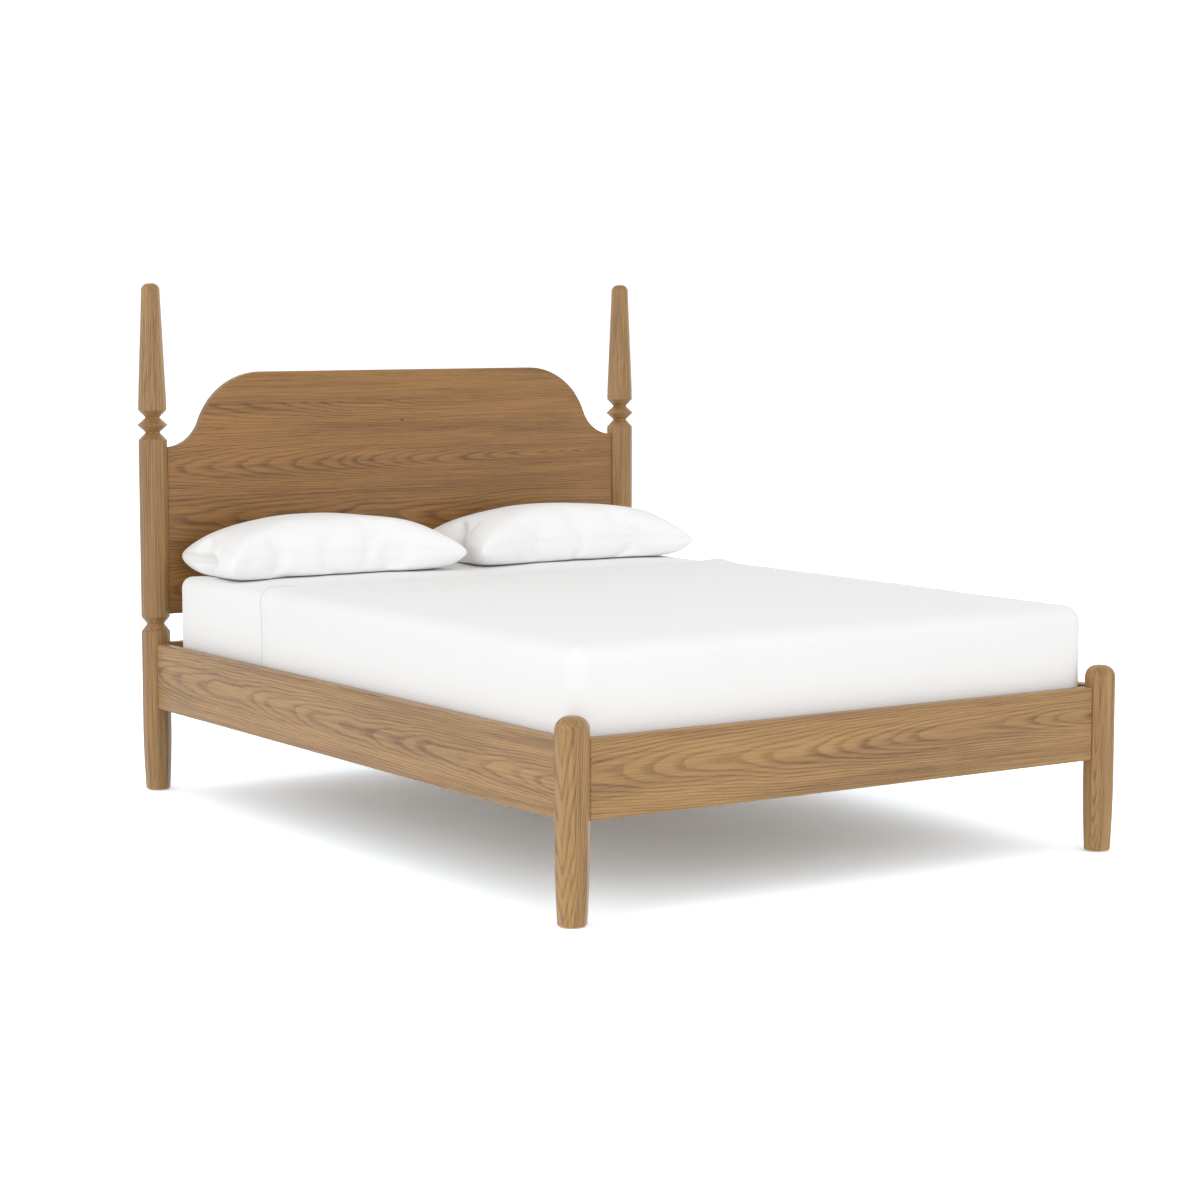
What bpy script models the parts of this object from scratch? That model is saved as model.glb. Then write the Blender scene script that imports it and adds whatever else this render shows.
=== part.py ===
"""Poster bed in oak: two tall carved head posts, two low foot posts, an arched headboard,
rails with tenons and hook plates, a slatted base with a centre leg, mattress and bedding.

Metres, +Z up. The origin is on the floor at the middle of the bed, +Y is the head end and
left is the -X side. Lengths that can be set by themselves are named here once, and what
fits to them is worked out from them and from a named clearance.
"""

import math

import bmesh
import bpy
from mathutils import Matrix, Vector

# Clearances
GAP = 0.0003            # between pieces that touch
JOINT_PLAY = 0.0005     # round a tenon or a plate in its housing
RUNNING_PLAY = 0.0004   # round a turning or sliding shaft
OVERSHOOT = 0.002       # how far a cutter stands out of what it cuts
OVERLAP = 0.004         # how far a joined shape reaches into the body it joins

# Plan of the bed
POST_SPAN_X = 1.600     # post axis to post axis, across
POST_SPAN_Y = 2.169     # post axis to post axis, along

# Posts: soft-edged octagons, given by half their width across flats
POST_HALF = 0.0381
POST_EDGE = 0.0055      # how far each vertical edge is softened, along a flat
FOOT_HALF = 0.0326      # at the floor
LEG_TAPER_TOP = 0.165
LEG_TAPER_STEPS = 5
TOE_CHAMFER = 0.0020
FOOT_POST_TOP = 0.476
FOOT_DOME = 0.030       # radius of the rounded top
LOWER_WAIST_Z = 0.4775
LOWER_WAIST_HALF = 0.0238
LOWER_CONE = 0.0208     # height of each cone that runs into the lower waist
UPPER_WAIST_Z = 1.0226
UPPER_WAIST_HALF = 0.0200
UPPER_CONE = 0.0213
BEAD_HALF = 0.0405
SPIRE_TIP_HALF = 0.0252
SPIRE_TIP_Z = 1.408
HEAD_POST_TOP = 1.443
SPIRE_DOME = 0.020
DOME_STEPS = 4
WAIST_FLAT = 0.0016     # height of the narrow band at a waist

# Rails
RAIL_BOTTOM = 0.2368
RAIL_HEIGHT = 0.1863
RAIL_THICK = 0.031
RAIL_EDGE = 0.004
TENON_THICK = 0.014
TENON_LENGTH = 0.030
TENON_SHOULDER = 0.022  # above and below the tenon

# Headboard panel
PANEL_THICK = 0.027
PANEL_BOTTOM = 0.504
PANEL_SHOULDER_Z = 0.980
PANEL_TOP = 1.1903
PANEL_HOLLOW_RADIUS = 0.110
PANEL_CROWN_RADIUS = 0.2134
PANEL_SHOULDER_RUN = 0.0020  # level run from the hollow to the post
PANEL_EDGE = 0.003
PANEL_TENON_THICK = 0.012
PANEL_TENON_LENGTH = 0.016
PANEL_TENON_SHOULDER = 0.030
ARC_STEP = math.radians(9)

# Hook plates that hold the side rails
PLATE_WIDTH = 0.016
PLATE_HEIGHT = 0.124
PLATE_THICK = 0.003
HOOK_THICK = 0.0026
HOOK_REACH = 0.0110     # beyond the rail plate's face
HOOK_HEIGHT = 0.030
HOOK_LIP = 0.008
HOOK_SPACING = 0.070
POCKET_DEPTH = 0.015
POCKET_INSET = 0.0035   # the pocket is narrower than the plate by this at each side
POCKET_END_PLAY = 0.006
HOOK_LIP_THICK = HOOK_THICK * 1.6

# Slatted base
SLAT_TOP = 0.355
SLAT_THICK = 0.018
SLAT_WIDTH = 0.080
SLAT_COUNT = 14
SLAT_END_PLAY = 0.004
SLAT_EDGE = 0.002
FIRST_SLAT_FROM_RAIL = 0.034
LEDGE_WIDTH = 0.024
LEDGE_HEIGHT = 0.032
LEDGE_END_CLEARANCE = 0.055
STRAP_WIDTH = 0.025
STRAP_THICK = 0.0012
STRAP_FROM_CENTRE = 0.520

# Centre beam, its hangers and its leg
BEAM_WIDTH = 0.038
BEAM_HEIGHT = 0.068
HANGER_SHEET = 0.0025
HANGER_DEPTH = 0.042
HANGER_FLANGE = 0.086
HANGER_PLAY = 0.0006
LEG_SIDE = 0.044
LEG_EDGE = 0.003
LEG_BOLT_RADIUS = 0.004
LEG_BOLT_IN_LEG = 0.030
LEG_BOLT_IN_BEAM = 0.026
LEG_BOLT_POINT = 0.004
LEG_BOLT_POINT_RADIUS = 0.0015
PAD_RADIUS = 0.019
PAD_HEIGHT = 0.008
PAD_SOCKET_DEPTH = 0.0045
STUD_RADIUS = 0.004
STUD_BALL_RADIUS = 0.0050
STUD_HEX = 0.013
STUD_HEX_HEIGHT = 0.005
STUD_LENGTH = 0.034
STUD_END_CHAMFER = 0.001
STUD_BORE_SPARE = 0.004  # the bore runs on past the stud's end by this
BALL_ROUND = 0.0015
INSERT_FLANGE_RADIUS = 0.0105
INSERT_FLANGE = 0.0015
INSERT_RADIUS = 0.0060
INSERT_LENGTH = 0.014

# Glides under the posts
GLIDE_RADIUS = 0.015
GLIDE_HEIGHT = 0.003
GLIDE_PIN_RADIUS = 0.0022
GLIDE_PIN_LENGTH = 0.014

# Mattress and bedding
MATTRESS_SIDE_CLEARANCE = 0.0146  # to each side rail
MATTRESS_FOOT_CLEARANCE = 0.0221  # to the foot rail
MATTRESS_HEAD_CLEARANCE = 0.078   # to the head rail
MATTRESS_THICK = 0.2617
MATTRESS_CORNER = 0.034
MATTRESS_EDGE = 0.028
SHEET_THICK = 0.0024
SHEET_GAP = 0.0006
COVER_THICK = 0.0055
COVER_GAP = 0.0006
COVER_LOFT = 0.0045     # how much thicker the cover lies on top
COVER_CORNER = 0.043
COVER_EDGE = 0.055
LEAST_CORNER = 0.006
SKIRT_LIFT = 0.012      # the bedding's lower edge above the slats
COVER_FROM_PILLOWS = 0.201
BLOCK_STEPS = 3
CORNER_STEPS = 5
PILLOW_CORNER_STEPS = 4
SHELL_DEPTH = 0.01      # how far the shell's hollow runs on below its edge
PILLOW_DEPTH = 0.385
PILLOW_THICK = 0.167
PILLOW_OVERHANG = 0.0176  # beyond the mattress, at its outer end
PILLOW_FROM_MIDDLE = 0.0175  # its inner end from the bed's middle
PILLOW_SHIFT = 0.020  # both pillows lie this far to the right
PILLOW_HEAD_CLEARANCE = 0.020
PILLOW_CORNER = 0.075
PILLOW_LEAST_CORNER = 0.02
PILLOW_REST_GAP = 0.001
# Each level of a pillow: its share of the height, and how far it is drawn in
PILLOW_LEVELS = (
    (0.0, 0.075),
    (0.12, 0.030),
    (0.36, 0.0),
    (0.50, 0.006),
    (0.72, 0.036),
    (0.89, 0.082),
    (1.0, 0.145),
)

# Worked out from the sizes above
HALF_X = POST_SPAN_X / 2
HALF_Y = POST_SPAN_Y / 2
RAIL_TOP = RAIL_BOTTOM + RAIL_HEIGHT
RAIL_MIDDLE = (RAIL_BOTTOM + RAIL_TOP) / 2
RAIL_INNER_X = HALF_X - RAIL_THICK / 2
RAIL_INNER_Y = HALF_Y - RAIL_THICK / 2
CROSS_HALF = HALF_X - POST_HALF - GAP
SIDE_HALF = HALF_Y - POST_HALF - GAP
SLAT_BOTTOM = SLAT_TOP - SLAT_THICK
LEDGE_TOP = SLAT_BOTTOM - GAP
BEAM_TOP = SLAT_BOTTOM - GAP
BEAM_BOTTOM = BEAM_TOP - BEAM_HEIGHT
PAD_TO_HEX = 0.0006
HEX_BOTTOM = PAD_HEIGHT + PAD_TO_HEX
HEX_TOP = HEX_BOTTOM + STUD_HEX_HEIGHT
LEG_BOTTOM = HEX_TOP + GAP + INSERT_FLANGE + GAP
LEG_TOP = BEAM_BOTTOM - GAP
BED_BOTTOM = SLAT_TOP + GAP
SHEET_OUT = SHEET_GAP + SHEET_THICK
COVER_IN = SHEET_OUT + COVER_GAP
COVER_OUT = COVER_IN + COVER_THICK
MATTRESS_HALF_WIDTH = RAIL_INNER_X - MATTRESS_SIDE_CLEARANCE
MATTRESS_FOOT_Y = -RAIL_INNER_Y + MATTRESS_FOOT_CLEARANCE
MATTRESS_HEAD_Y = RAIL_INNER_Y - MATTRESS_HEAD_CLEARANCE
PILLOW_WIDTH = MATTRESS_HALF_WIDTH + PILLOW_OVERHANG - PILLOW_FROM_MIDDLE
PILLOW_FROM_CENTRE = PILLOW_FROM_MIDDLE + PILLOW_WIDTH / 2
PILLOW_BACK = HALF_Y - PANEL_THICK / 2 - PILLOW_HEAD_CLEARANCE
COVER_HEAD_EDGE = PILLOW_BACK - PILLOW_DEPTH - COVER_FROM_PILLOWS


def clear_scene():
    for obj in list(bpy.data.objects):
        bpy.data.objects.remove(obj, do_unlink=True)


def material(name, colour, roughness, metallic=0.0):
    found = bpy.data.materials.get(name)
    if found:
        return found
    made = bpy.data.materials.new(name)
    made.use_nodes = True
    shader = made.node_tree.nodes["Principled BSDF"]
    shader.inputs["Base Color"].default_value = (*colour, 1.0)
    shader.inputs["Roughness"].default_value = roughness
    shader.inputs["Metallic"].default_value = metallic
    return made


def oak():
    return material("oak", (0.36, 0.21, 0.10), 0.45)


def pine():
    return material("pine", (0.55, 0.38, 0.20), 0.6)


def zinc_steel():
    return material("zinc_steel", (0.55, 0.56, 0.58), 0.35, 1.0)


def nylon():
    return material("nylon", (0.05, 0.045, 0.04), 0.5)


def webbing():
    return material("webbing", (0.62, 0.60, 0.55), 0.9)


def white_cotton():
    return material("white_cotton", (0.86, 0.86, 0.86), 0.85)


def ticking():
    return material("ticking", (0.80, 0.79, 0.76), 0.9)


def add(name, bm, finish, smooth_below=None):
    """Makes the object of a bmesh whose faces point outwards."""
    bmesh.ops.remove_doubles(bm, verts=bm.verts, dist=1e-7)
    bmesh.ops.recalc_face_normals(bm, faces=bm.faces)
    mesh = bpy.data.meshes.new(name)
    bm.to_mesh(mesh)
    bm.free()
    if smooth_below:
        mesh.shade_smooth()
        mesh.set_sharp_from_angle(angle=smooth_below)
    obj = bpy.data.objects.new(name, mesh)
    obj.data.materials.append(finish)
    bpy.context.scene.collection.objects.link(obj)
    return obj


def loft(rings):
    """A closed bmesh through rings of equally many points, with flat ends."""
    bm = bmesh.new()
    loops = [[bm.verts.new(point) for point in ring] for ring in rings]
    for lower, upper in zip(loops, loops[1:]):
        for i in range(len(lower)):
            j = (i + 1) % len(lower)
            bm.faces.new((lower[i], lower[j], upper[j], upper[i]))
    bm.faces.new(list(reversed(loops[0])))
    bm.faces.new(loops[-1])
    return bm


def box_bmesh(size, centre):
    bm = bmesh.new()
    bmesh.ops.create_cube(bm, size=1.0)
    bmesh.ops.scale(bm, vec=Vector(size), verts=bm.verts)
    bmesh.ops.translate(bm, vec=Vector(centre), verts=bm.verts)
    return bm


def board(name, size, centre, edge, finish):
    obj = add(name, box_bmesh(size, centre), finish)
    if edge:
        soften(obj, edge)
    return obj


def soften(obj, width, segments=1):
    bevel = obj.modifiers.new("Soft edges", "BEVEL")
    bevel.width = width
    bevel.segments = segments
    bevel.limit_method = "ANGLE"
    bevel.angle_limit = math.radians(40)


def helper(name, bm):
    obj = add(name, bm, oak())
    obj.hide_render = True
    obj.display_type = "WIRE"
    return obj


def boolean(obj, bm, operation):
    """Joins a helper shape to an object, or cuts it away."""
    tool = helper(f"{obj.name}.{operation.lower()}.{len(obj.modifiers)}", bm)
    change = obj.modifiers.new(operation.title(), "BOOLEAN")
    change.operation = operation
    change.solver = "EXACT"
    change.object = tool


def box_between(low, high):
    size = [b - a for a, b in zip(low, high)]
    centre = [(a + b) / 2 for a, b in zip(low, high)]
    return box_bmesh(size, centre)


def round_ring(radius, z, x=0.0, y=0.0, count=12):
    angles = [2 * math.pi * i / count for i in range(count)]
    return [(x + radius * math.cos(a), y + radius * math.sin(a), z) for a in angles]


def hex_ring(across, z, x=0.0, y=0.0, count=12):
    """A hexagon across its flats, as twelve points: corners and the middles of the flats."""
    points = []
    for i in range(count):
        a = 2 * math.pi * i / count
        radius = across / 2 / (math.cos(math.pi / 6) if i % 2 else 1.0)
        points.append((x + radius * math.cos(a), y + radius * math.sin(a), z))
    return points


def octagon_ring(half, z, x, y):
    """A post's section: eight flats, with each corner cut back by the softened edge."""
    corner = half * math.tan(math.pi / 8)
    edge = min(POST_EDGE, corner * 0.6)
    points = []
    for k in range(8):
        turn = Matrix.Rotation(k * math.pi / 4, 2)
        for along in (-(corner - edge), corner - edge):
            p = turn @ Vector((half, along))
            points.append((x + p.x, y + p.y, z))
    return points


def leg_profile():
    """(half width, height) from the glide up to the straight part: a taper that eases in."""
    toe = FOOT_HALF - TOE_CHAMFER
    points = [(toe, GLIDE_HEIGHT + GAP), (FOOT_HALF, GLIDE_HEIGHT + TOE_CHAMFER)]
    for i in range(1, LEG_TAPER_STEPS + 1):
        t = i / LEG_TAPER_STEPS
        ease = t + 0.16 * math.sin(math.pi * t)
        points.append((FOOT_HALF + (POST_HALF - FOOT_HALF) * min(ease, 1.0), LEG_TAPER_TOP * t))
    return points


def dome_profile(half, top, radius):
    """A quarter round of this radius that ends in a small flat at the top."""
    points = []
    for i in range(DOME_STEPS + 1):
        a = math.pi / 2 * i / DOME_STEPS
        points.append((half - radius * (1 - math.cos(a)), top - radius * (1 - math.sin(a))))
    return points


def foot_post_profile():
    return leg_profile() + dome_profile(POST_HALF, FOOT_POST_TOP, FOOT_DOME)


def waist_profile(half_below, half_above, waist_half, waist_z, cone):
    """Two cones that run into a narrow band."""
    return [
        (half_below, waist_z - cone),
        (waist_half, waist_z - WAIST_FLAT / 2),
        (waist_half, waist_z + WAIST_FLAT / 2),
        (half_above, waist_z + cone),
    ]


def head_post_profile():
    lower = waist_profile(POST_HALF, POST_HALF, LOWER_WAIST_HALF, LOWER_WAIST_Z, LOWER_CONE)
    under_bead = waist_profile(POST_HALF, BEAD_HALF, UPPER_WAIST_HALF, UPPER_WAIST_Z, UPPER_CONE)
    over_bead_z = UPPER_WAIST_Z + 2 * UPPER_CONE
    over_bead = waist_profile(BEAD_HALF, POST_HALF, UPPER_WAIST_HALF, over_bead_z, UPPER_CONE)
    spire = [(SPIRE_TIP_HALF, SPIRE_TIP_Z)]
    tip = dome_profile(SPIRE_TIP_HALF, HEAD_POST_TOP, SPIRE_DOME)[1:]
    return leg_profile() + lower + under_bead + over_bead[1:] + spire + tip


def tenon_slot(side_x, end_y, z_low, z_high, thick, length):
    """The mortise in a post's inner face for a tenon of this size, open at the face."""
    face = side_x * (HALF_X - POST_HALF)
    deep = face + side_x * (length + 2 * JOINT_PLAY)
    xs = sorted((face - side_x * OVERSHOOT, deep))
    wide = thick / 2 + JOINT_PLAY
    low = (xs[0], end_y - wide, z_low - JOINT_PLAY)
    high = (xs[1], end_y + wide, z_high + JOINT_PLAY)
    return box_between(low, high)


def hook_pocket(side_x, end):
    """The recess for the post's hook plate and the deeper pocket that its hooks drop into."""
    face = end * (HALF_Y - POST_HALF)
    x = side_x * HALF_X
    out = face - end * OVERSHOOT
    plate = sorted((out, face + end * (PLATE_THICK + JOINT_PLAY)))
    pocket = sorted((out, face + end * POCKET_DEPTH))
    wide = PLATE_WIDTH / 2 + JOINT_PLAY
    tall = PLATE_HEIGHT / 2 + JOINT_PLAY
    slim = PLATE_WIDTH / 2 - POCKET_INSET
    reach = HOOK_SPACING / 2 + HOOK_HEIGHT / 2 + POCKET_END_PLAY
    recesses = []
    for ys, half_x, half_z in ((plate, wide, tall), (pocket, slim, reach)):
        low = (x - half_x, ys[0], RAIL_MIDDLE - half_z)
        high = (x + half_x, ys[1], RAIL_MIDDLE + half_z)
        recesses.append(box_between(low, high))
    return recesses


def glide_hole(x, y):
    top = GLIDE_HEIGHT + GLIDE_PIN_LENGTH + JOINT_PLAY
    radius = GLIDE_PIN_RADIUS + GAP
    return loft([round_ring(radius, 0.0, x, y), round_ring(radius, top, x, y)])


def post(name, side_x, end, profile):
    """A post with its mortise for the cross rail, its hook pocket and its glide's hole."""
    x = side_x * HALF_X
    y = end * HALF_Y
    rings = [octagon_ring(half, z, x, y) for half, z in profile]
    obj = add(name, loft(rings), oak(), math.radians(20))
    low = RAIL_BOTTOM + TENON_SHOULDER
    high = RAIL_TOP - TENON_SHOULDER
    boolean(obj, tenon_slot(side_x, y, low, high, TENON_THICK, TENON_LENGTH), "DIFFERENCE")
    for recess in hook_pocket(side_x, end):
        boolean(obj, recess, "DIFFERENCE")
    boolean(obj, glide_hole(x, y), "DIFFERENCE")
    if end > 0:
        low = PANEL_BOTTOM + PANEL_TENON_SHOULDER
        high = PANEL_SHOULDER_Z - PANEL_TENON_SHOULDER
        slot = tenon_slot(side_x, y, low, high, PANEL_TENON_THICK, PANEL_TENON_LENGTH)
        boolean(obj, slot, "DIFFERENCE")
    return obj


def cross_rail(name, end):
    """A rail across the bed, tenoned into its two posts."""
    y = end * HALF_Y
    size = (2 * CROSS_HALF, RAIL_THICK, RAIL_HEIGHT)
    obj = board(name, size, (0, y, RAIL_MIDDLE), RAIL_EDGE, oak())
    for side_x in (-1, 1):
        xs = sorted((side_x * (CROSS_HALF - OVERLAP), side_x * (CROSS_HALF + TENON_LENGTH)))
        low = (xs[0], y - TENON_THICK / 2, RAIL_BOTTOM + TENON_SHOULDER)
        high = (xs[1], y + TENON_THICK / 2, RAIL_TOP - TENON_SHOULDER)
        boolean(obj, box_between(low, high), "UNION")
    return obj


def side_rail(name, side_x):
    """A rail along the bed, with a shallow recess in each end for its hook plate."""
    x = side_x * HALF_X
    size = (RAIL_THICK, 2 * SIDE_HALF, RAIL_HEIGHT)
    obj = board(name, size, (x, 0, RAIL_MIDDLE), RAIL_EDGE, oak())
    wide = PLATE_WIDTH / 2 + JOINT_PLAY
    tall = PLATE_HEIGHT / 2 + JOINT_PLAY
    for end in (-1, 1):
        deep = SIDE_HALF - PLATE_THICK - GAP
        ys = sorted((end * deep, end * (SIDE_HALF + OVERSHOOT)))
        low = (x - wide, ys[0], RAIL_MIDDLE - tall)
        high = (x + wide, ys[1], RAIL_MIDDLE + tall)
        boolean(obj, box_between(low, high), "DIFFERENCE")
    return obj


def hook_side_profile(face, end, middle):
    """One hook seen from the side, as (y, z): a neck through the slot and a lip that drops behind it."""
    root = face - end * PLATE_THICK / 2
    tip = face + end * HOOK_REACH
    lip = tip - end * HOOK_LIP_THICK
    top = middle + HOOK_HEIGHT / 2
    bottom = middle - HOOK_HEIGHT / 2
    neck = bottom + HOOK_LIP
    return [(root, neck), (root, top), (tip, top), (tip, bottom), (lip, bottom), (lip, neck)]


def extruded_x(outline, low_x, high_x):
    """A closed prism along X of an outline of (y, z) points."""
    return loft([[(x, y, z) for y, z in outline] for x in (low_x, high_x)])


def rail_hook_plate(name, side_x, end):
    """The steel plate let into a side rail's end, with two hooks that stand out of it."""
    x = side_x * HALF_X
    face = end * SIDE_HALF
    back = face - end * PLATE_THICK
    ys = sorted((back, face))
    low = (x - PLATE_WIDTH / 2, ys[0], RAIL_MIDDLE - PLATE_HEIGHT / 2)
    high = (x + PLATE_WIDTH / 2, ys[1], RAIL_MIDDLE + PLATE_HEIGHT / 2)
    obj = add(name, box_between(low, high), zinc_steel())
    for place in (-0.5, 0.5):
        outline = hook_side_profile(face, end, RAIL_MIDDLE + place * HOOK_SPACING)
        boolean(obj, extruded_x(outline, x - HOOK_THICK / 2, x + HOOK_THICK / 2), "UNION")
    return obj


def post_hook_plate(name, side_x, end):
    """The slotted steel plate let into a post, which the rail's hooks drop behind."""
    x = side_x * HALF_X
    face = end * (HALF_Y - POST_HALF)
    ys = sorted((face, face + end * PLATE_THICK))
    low = (x - PLATE_WIDTH / 2, ys[0], RAIL_MIDDLE - PLATE_HEIGHT / 2)
    high = (x + PLATE_WIDTH / 2, ys[1], RAIL_MIDDLE + PLATE_HEIGHT / 2)
    obj = add(name, box_between(low, high), zinc_steel())
    wide = HOOK_THICK / 2 + JOINT_PLAY
    tall = HOOK_HEIGHT / 2 + JOINT_PLAY
    for place in (-0.5, 0.5):
        z = RAIL_MIDDLE + place * HOOK_SPACING
        low = (x - wide, ys[0] - OVERSHOOT, z - tall)
        high = (x + wide, ys[1] + OVERSHOOT, z + tall)
        boolean(obj, box_between(low, high), "DIFFERENCE")
    return obj


def arc(centre, radius, start, end):
    """Points along an arc, both ends included, as (x, z)."""
    steps = max(2, round(abs(end - start) / ARC_STEP))
    angles = [start + (end - start) * i / steps for i in range(steps + 1)]
    return [(centre[0] + radius * math.cos(a), centre[1] + radius * math.sin(a)) for a in angles]


def ogee_half():
    """The right half of the headboard's top edge, from its flat top down to its shoulder.

    The crown is tangent to the flat top, and the hollow is tangent to the crown and ends
    level at the shoulder, where a short straight runs on to the post.
    """
    rise = PANEL_TOP - PANEL_SHOULDER_Z
    both = PANEL_CROWN_RADIUS + PANEL_HOLLOW_RADIUS
    turn = math.acos(1 - rise / both)
    hollow_x = CROSS_HALF - PANEL_SHOULDER_RUN
    flat_half = hollow_x - both * math.sin(turn)
    crown_centre = (flat_half, PANEL_TOP - PANEL_CROWN_RADIUS)
    hollow_centre = (hollow_x, PANEL_SHOULDER_Z + PANEL_HOLLOW_RADIUS)
    up = math.pi / 2
    crown = arc(crown_centre, PANEL_CROWN_RADIUS, up, up - turn)
    hollow = arc(hollow_centre, PANEL_HOLLOW_RADIUS, -up - turn, -up)
    return crown + hollow[1:]


def headboard_outline():
    """The panel's outline as (x, z): straight ends and base, and the ogee top."""
    right = [point for point in ogee_half() if point[0] < CROSS_HALF - PANEL_EDGE]
    right.append((CROSS_HALF, PANEL_SHOULDER_Z))
    right.append((CROSS_HALF, PANEL_BOTTOM))
    return right + [(-x, z) for x, z in reversed(right)]


def headboard_panel():
    front = HALF_Y - PANEL_THICK / 2
    back = HALF_Y + PANEL_THICK / 2
    outline = headboard_outline()
    rings = [[(x, y, z) for x, z in outline] for y in (front, back)]
    obj = add("headboard_panel", loft(rings), oak())
    soften(obj, PANEL_EDGE)
    for side_x in (-1, 1):
        xs = sorted((side_x * (CROSS_HALF - OVERLAP), side_x * (CROSS_HALF + PANEL_TENON_LENGTH)))
        low = (xs[0], HALF_Y - PANEL_TENON_THICK / 2, PANEL_BOTTOM + PANEL_TENON_SHOULDER)
        high = (xs[1], HALF_Y + PANEL_TENON_THICK / 2, PANEL_SHOULDER_Z - PANEL_TENON_SHOULDER)
        boolean(obj, box_between(low, high), "UNION")
    return obj


def ledge(name, side_x):
    x = side_x * (RAIL_INNER_X - GAP - LEDGE_WIDTH / 2)
    length = 2 * (RAIL_INNER_Y - LEDGE_END_CLEARANCE)
    size = (LEDGE_WIDTH, length, LEDGE_HEIGHT)
    return board(name, size, (x, 0, LEDGE_TOP - LEDGE_HEIGHT / 2), SLAT_EDGE, pine())


def slat_places():
    """The slats' centres along Y, evenly spaced between the two cross rails."""
    last = RAIL_INNER_Y - FIRST_SLAT_FROM_RAIL - SLAT_WIDTH / 2
    return [last * (2 * i / (SLAT_COUNT - 1) - 1) for i in range(SLAT_COUNT)]


def slats():
    size = (2 * (RAIL_INNER_X - SLAT_END_PLAY), SLAT_WIDTH, SLAT_THICK)
    for i, y in enumerate(slat_places(), start=1):
        board(f"slat_{i:02d}", size, (0, y, SLAT_BOTTOM + SLAT_THICK / 2), SLAT_EDGE, pine())


def slat_strap(name, side_x):
    """Webbing under the slats that keeps them evenly spaced."""
    last = slat_places()[-1] + SLAT_WIDTH / 2
    size = (STRAP_WIDTH, 2 * last, STRAP_THICK)
    z = SLAT_BOTTOM - GAP - STRAP_THICK / 2
    board(name, size, (side_x * STRAP_FROM_CENTRE, 0, z), 0, webbing())


def centre_beam():
    length = 2 * (RAIL_INNER_Y - GAP - HANGER_SHEET - GAP)
    centre = (0, 0, BEAM_BOTTOM + BEAM_HEIGHT / 2)
    obj = board("centre_beam", (BEAM_WIDTH, length, BEAM_HEIGHT), centre, SLAT_EDGE, pine())
    radius = LEG_BOLT_RADIUS + GAP
    low = BEAM_BOTTOM - OVERSHOOT
    high = BEAM_BOTTOM + LEG_BOLT_IN_BEAM + JOINT_PLAY
    boolean(obj, loft([round_ring(radius, low), round_ring(radius, high)]), "DIFFERENCE")
    return obj


def beam_hanger(name, end):
    """A folded steel stirrup: a flange against the cross rail and a U that carries the beam."""
    back = end * (RAIL_INNER_Y - GAP)
    front = back - end * HANGER_SHEET
    nose = back - end * HANGER_DEPTH
    inner = BEAM_WIDTH / 2 + HANGER_PLAY
    outer = inner + HANGER_SHEET
    floor = BEAM_BOTTOM - GAP
    under = floor - HANGER_SHEET
    flange = sorted((back, front))
    low = (-HANGER_FLANGE / 2, flange[0], under)
    high = (HANGER_FLANGE / 2, flange[1], BEAM_TOP - HANGER_PLAY)
    obj = add(name, box_between(low, high), zinc_steel())
    run = sorted((back - end * HANGER_SHEET / 2, nose))
    top = BEAM_TOP - HANGER_PLAY
    outline = [(-outer, top), (-outer, under), (outer, under), (outer, top),
               (inner, top), (inner, floor), (-inner, floor), (-inner, top)]
    boolean(obj, loft([[(x, y, z) for x, z in outline] for y in run]), "UNION")
    return obj


def centre_leg():
    size = (LEG_SIDE, LEG_SIDE, LEG_TOP - LEG_BOTTOM)
    obj = board("centre_leg", size, (0, 0, (LEG_TOP + LEG_BOTTOM) / 2), LEG_EDGE, oak())
    bolt_end = LEG_TOP - LEG_BOLT_IN_LEG - JOINT_PLAY
    insert_end = LEG_BOTTOM + INSERT_LENGTH + GAP
    bore_end = HEX_TOP + STUD_LENGTH + STUD_BORE_SPARE
    holes = (
        (LEG_BOLT_RADIUS + GAP, bolt_end, LEG_TOP + OVERSHOOT),
        (INSERT_RADIUS + GAP, LEG_BOTTOM - OVERSHOOT, insert_end),
        (STUD_RADIUS + RUNNING_PLAY, insert_end - OVERSHOOT, bore_end),
    )
    for radius, low, high in holes:
        boolean(obj, loft([round_ring(radius, low), round_ring(radius, high)]), "DIFFERENCE")
    return obj


def leg_hanger_bolt():
    low = LEG_TOP - LEG_BOLT_IN_LEG
    high = BEAM_BOTTOM + LEG_BOLT_IN_BEAM
    rings = [
        round_ring(LEG_BOLT_RADIUS, low),
        round_ring(LEG_BOLT_RADIUS, high - LEG_BOLT_POINT),
        round_ring(LEG_BOLT_POINT_RADIUS, high),
    ]
    add("leg_hanger_bolt", loft(rings), zinc_steel(), math.radians(40))


def leg_insert():
    """A flanged threaded bush in the leg's foot. Its bore goes right through."""
    low = HEX_TOP + GAP
    flange_top = low + INSERT_FLANGE
    top = flange_top + GAP + INSERT_LENGTH
    rings = [
        round_ring(INSERT_FLANGE_RADIUS, low),
        round_ring(INSERT_FLANGE_RADIUS, flange_top),
        round_ring(INSERT_RADIUS, flange_top),
        round_ring(INSERT_RADIUS, top),
    ]
    obj = add("leg_insert", loft(rings), zinc_steel(), math.radians(40))
    bore = STUD_RADIUS + RUNNING_PLAY
    hole = [round_ring(bore, low - OVERSHOOT), round_ring(bore, top + OVERSHOOT)]
    boolean(obj, loft(hole), "DIFFERENCE")
    return obj


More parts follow.
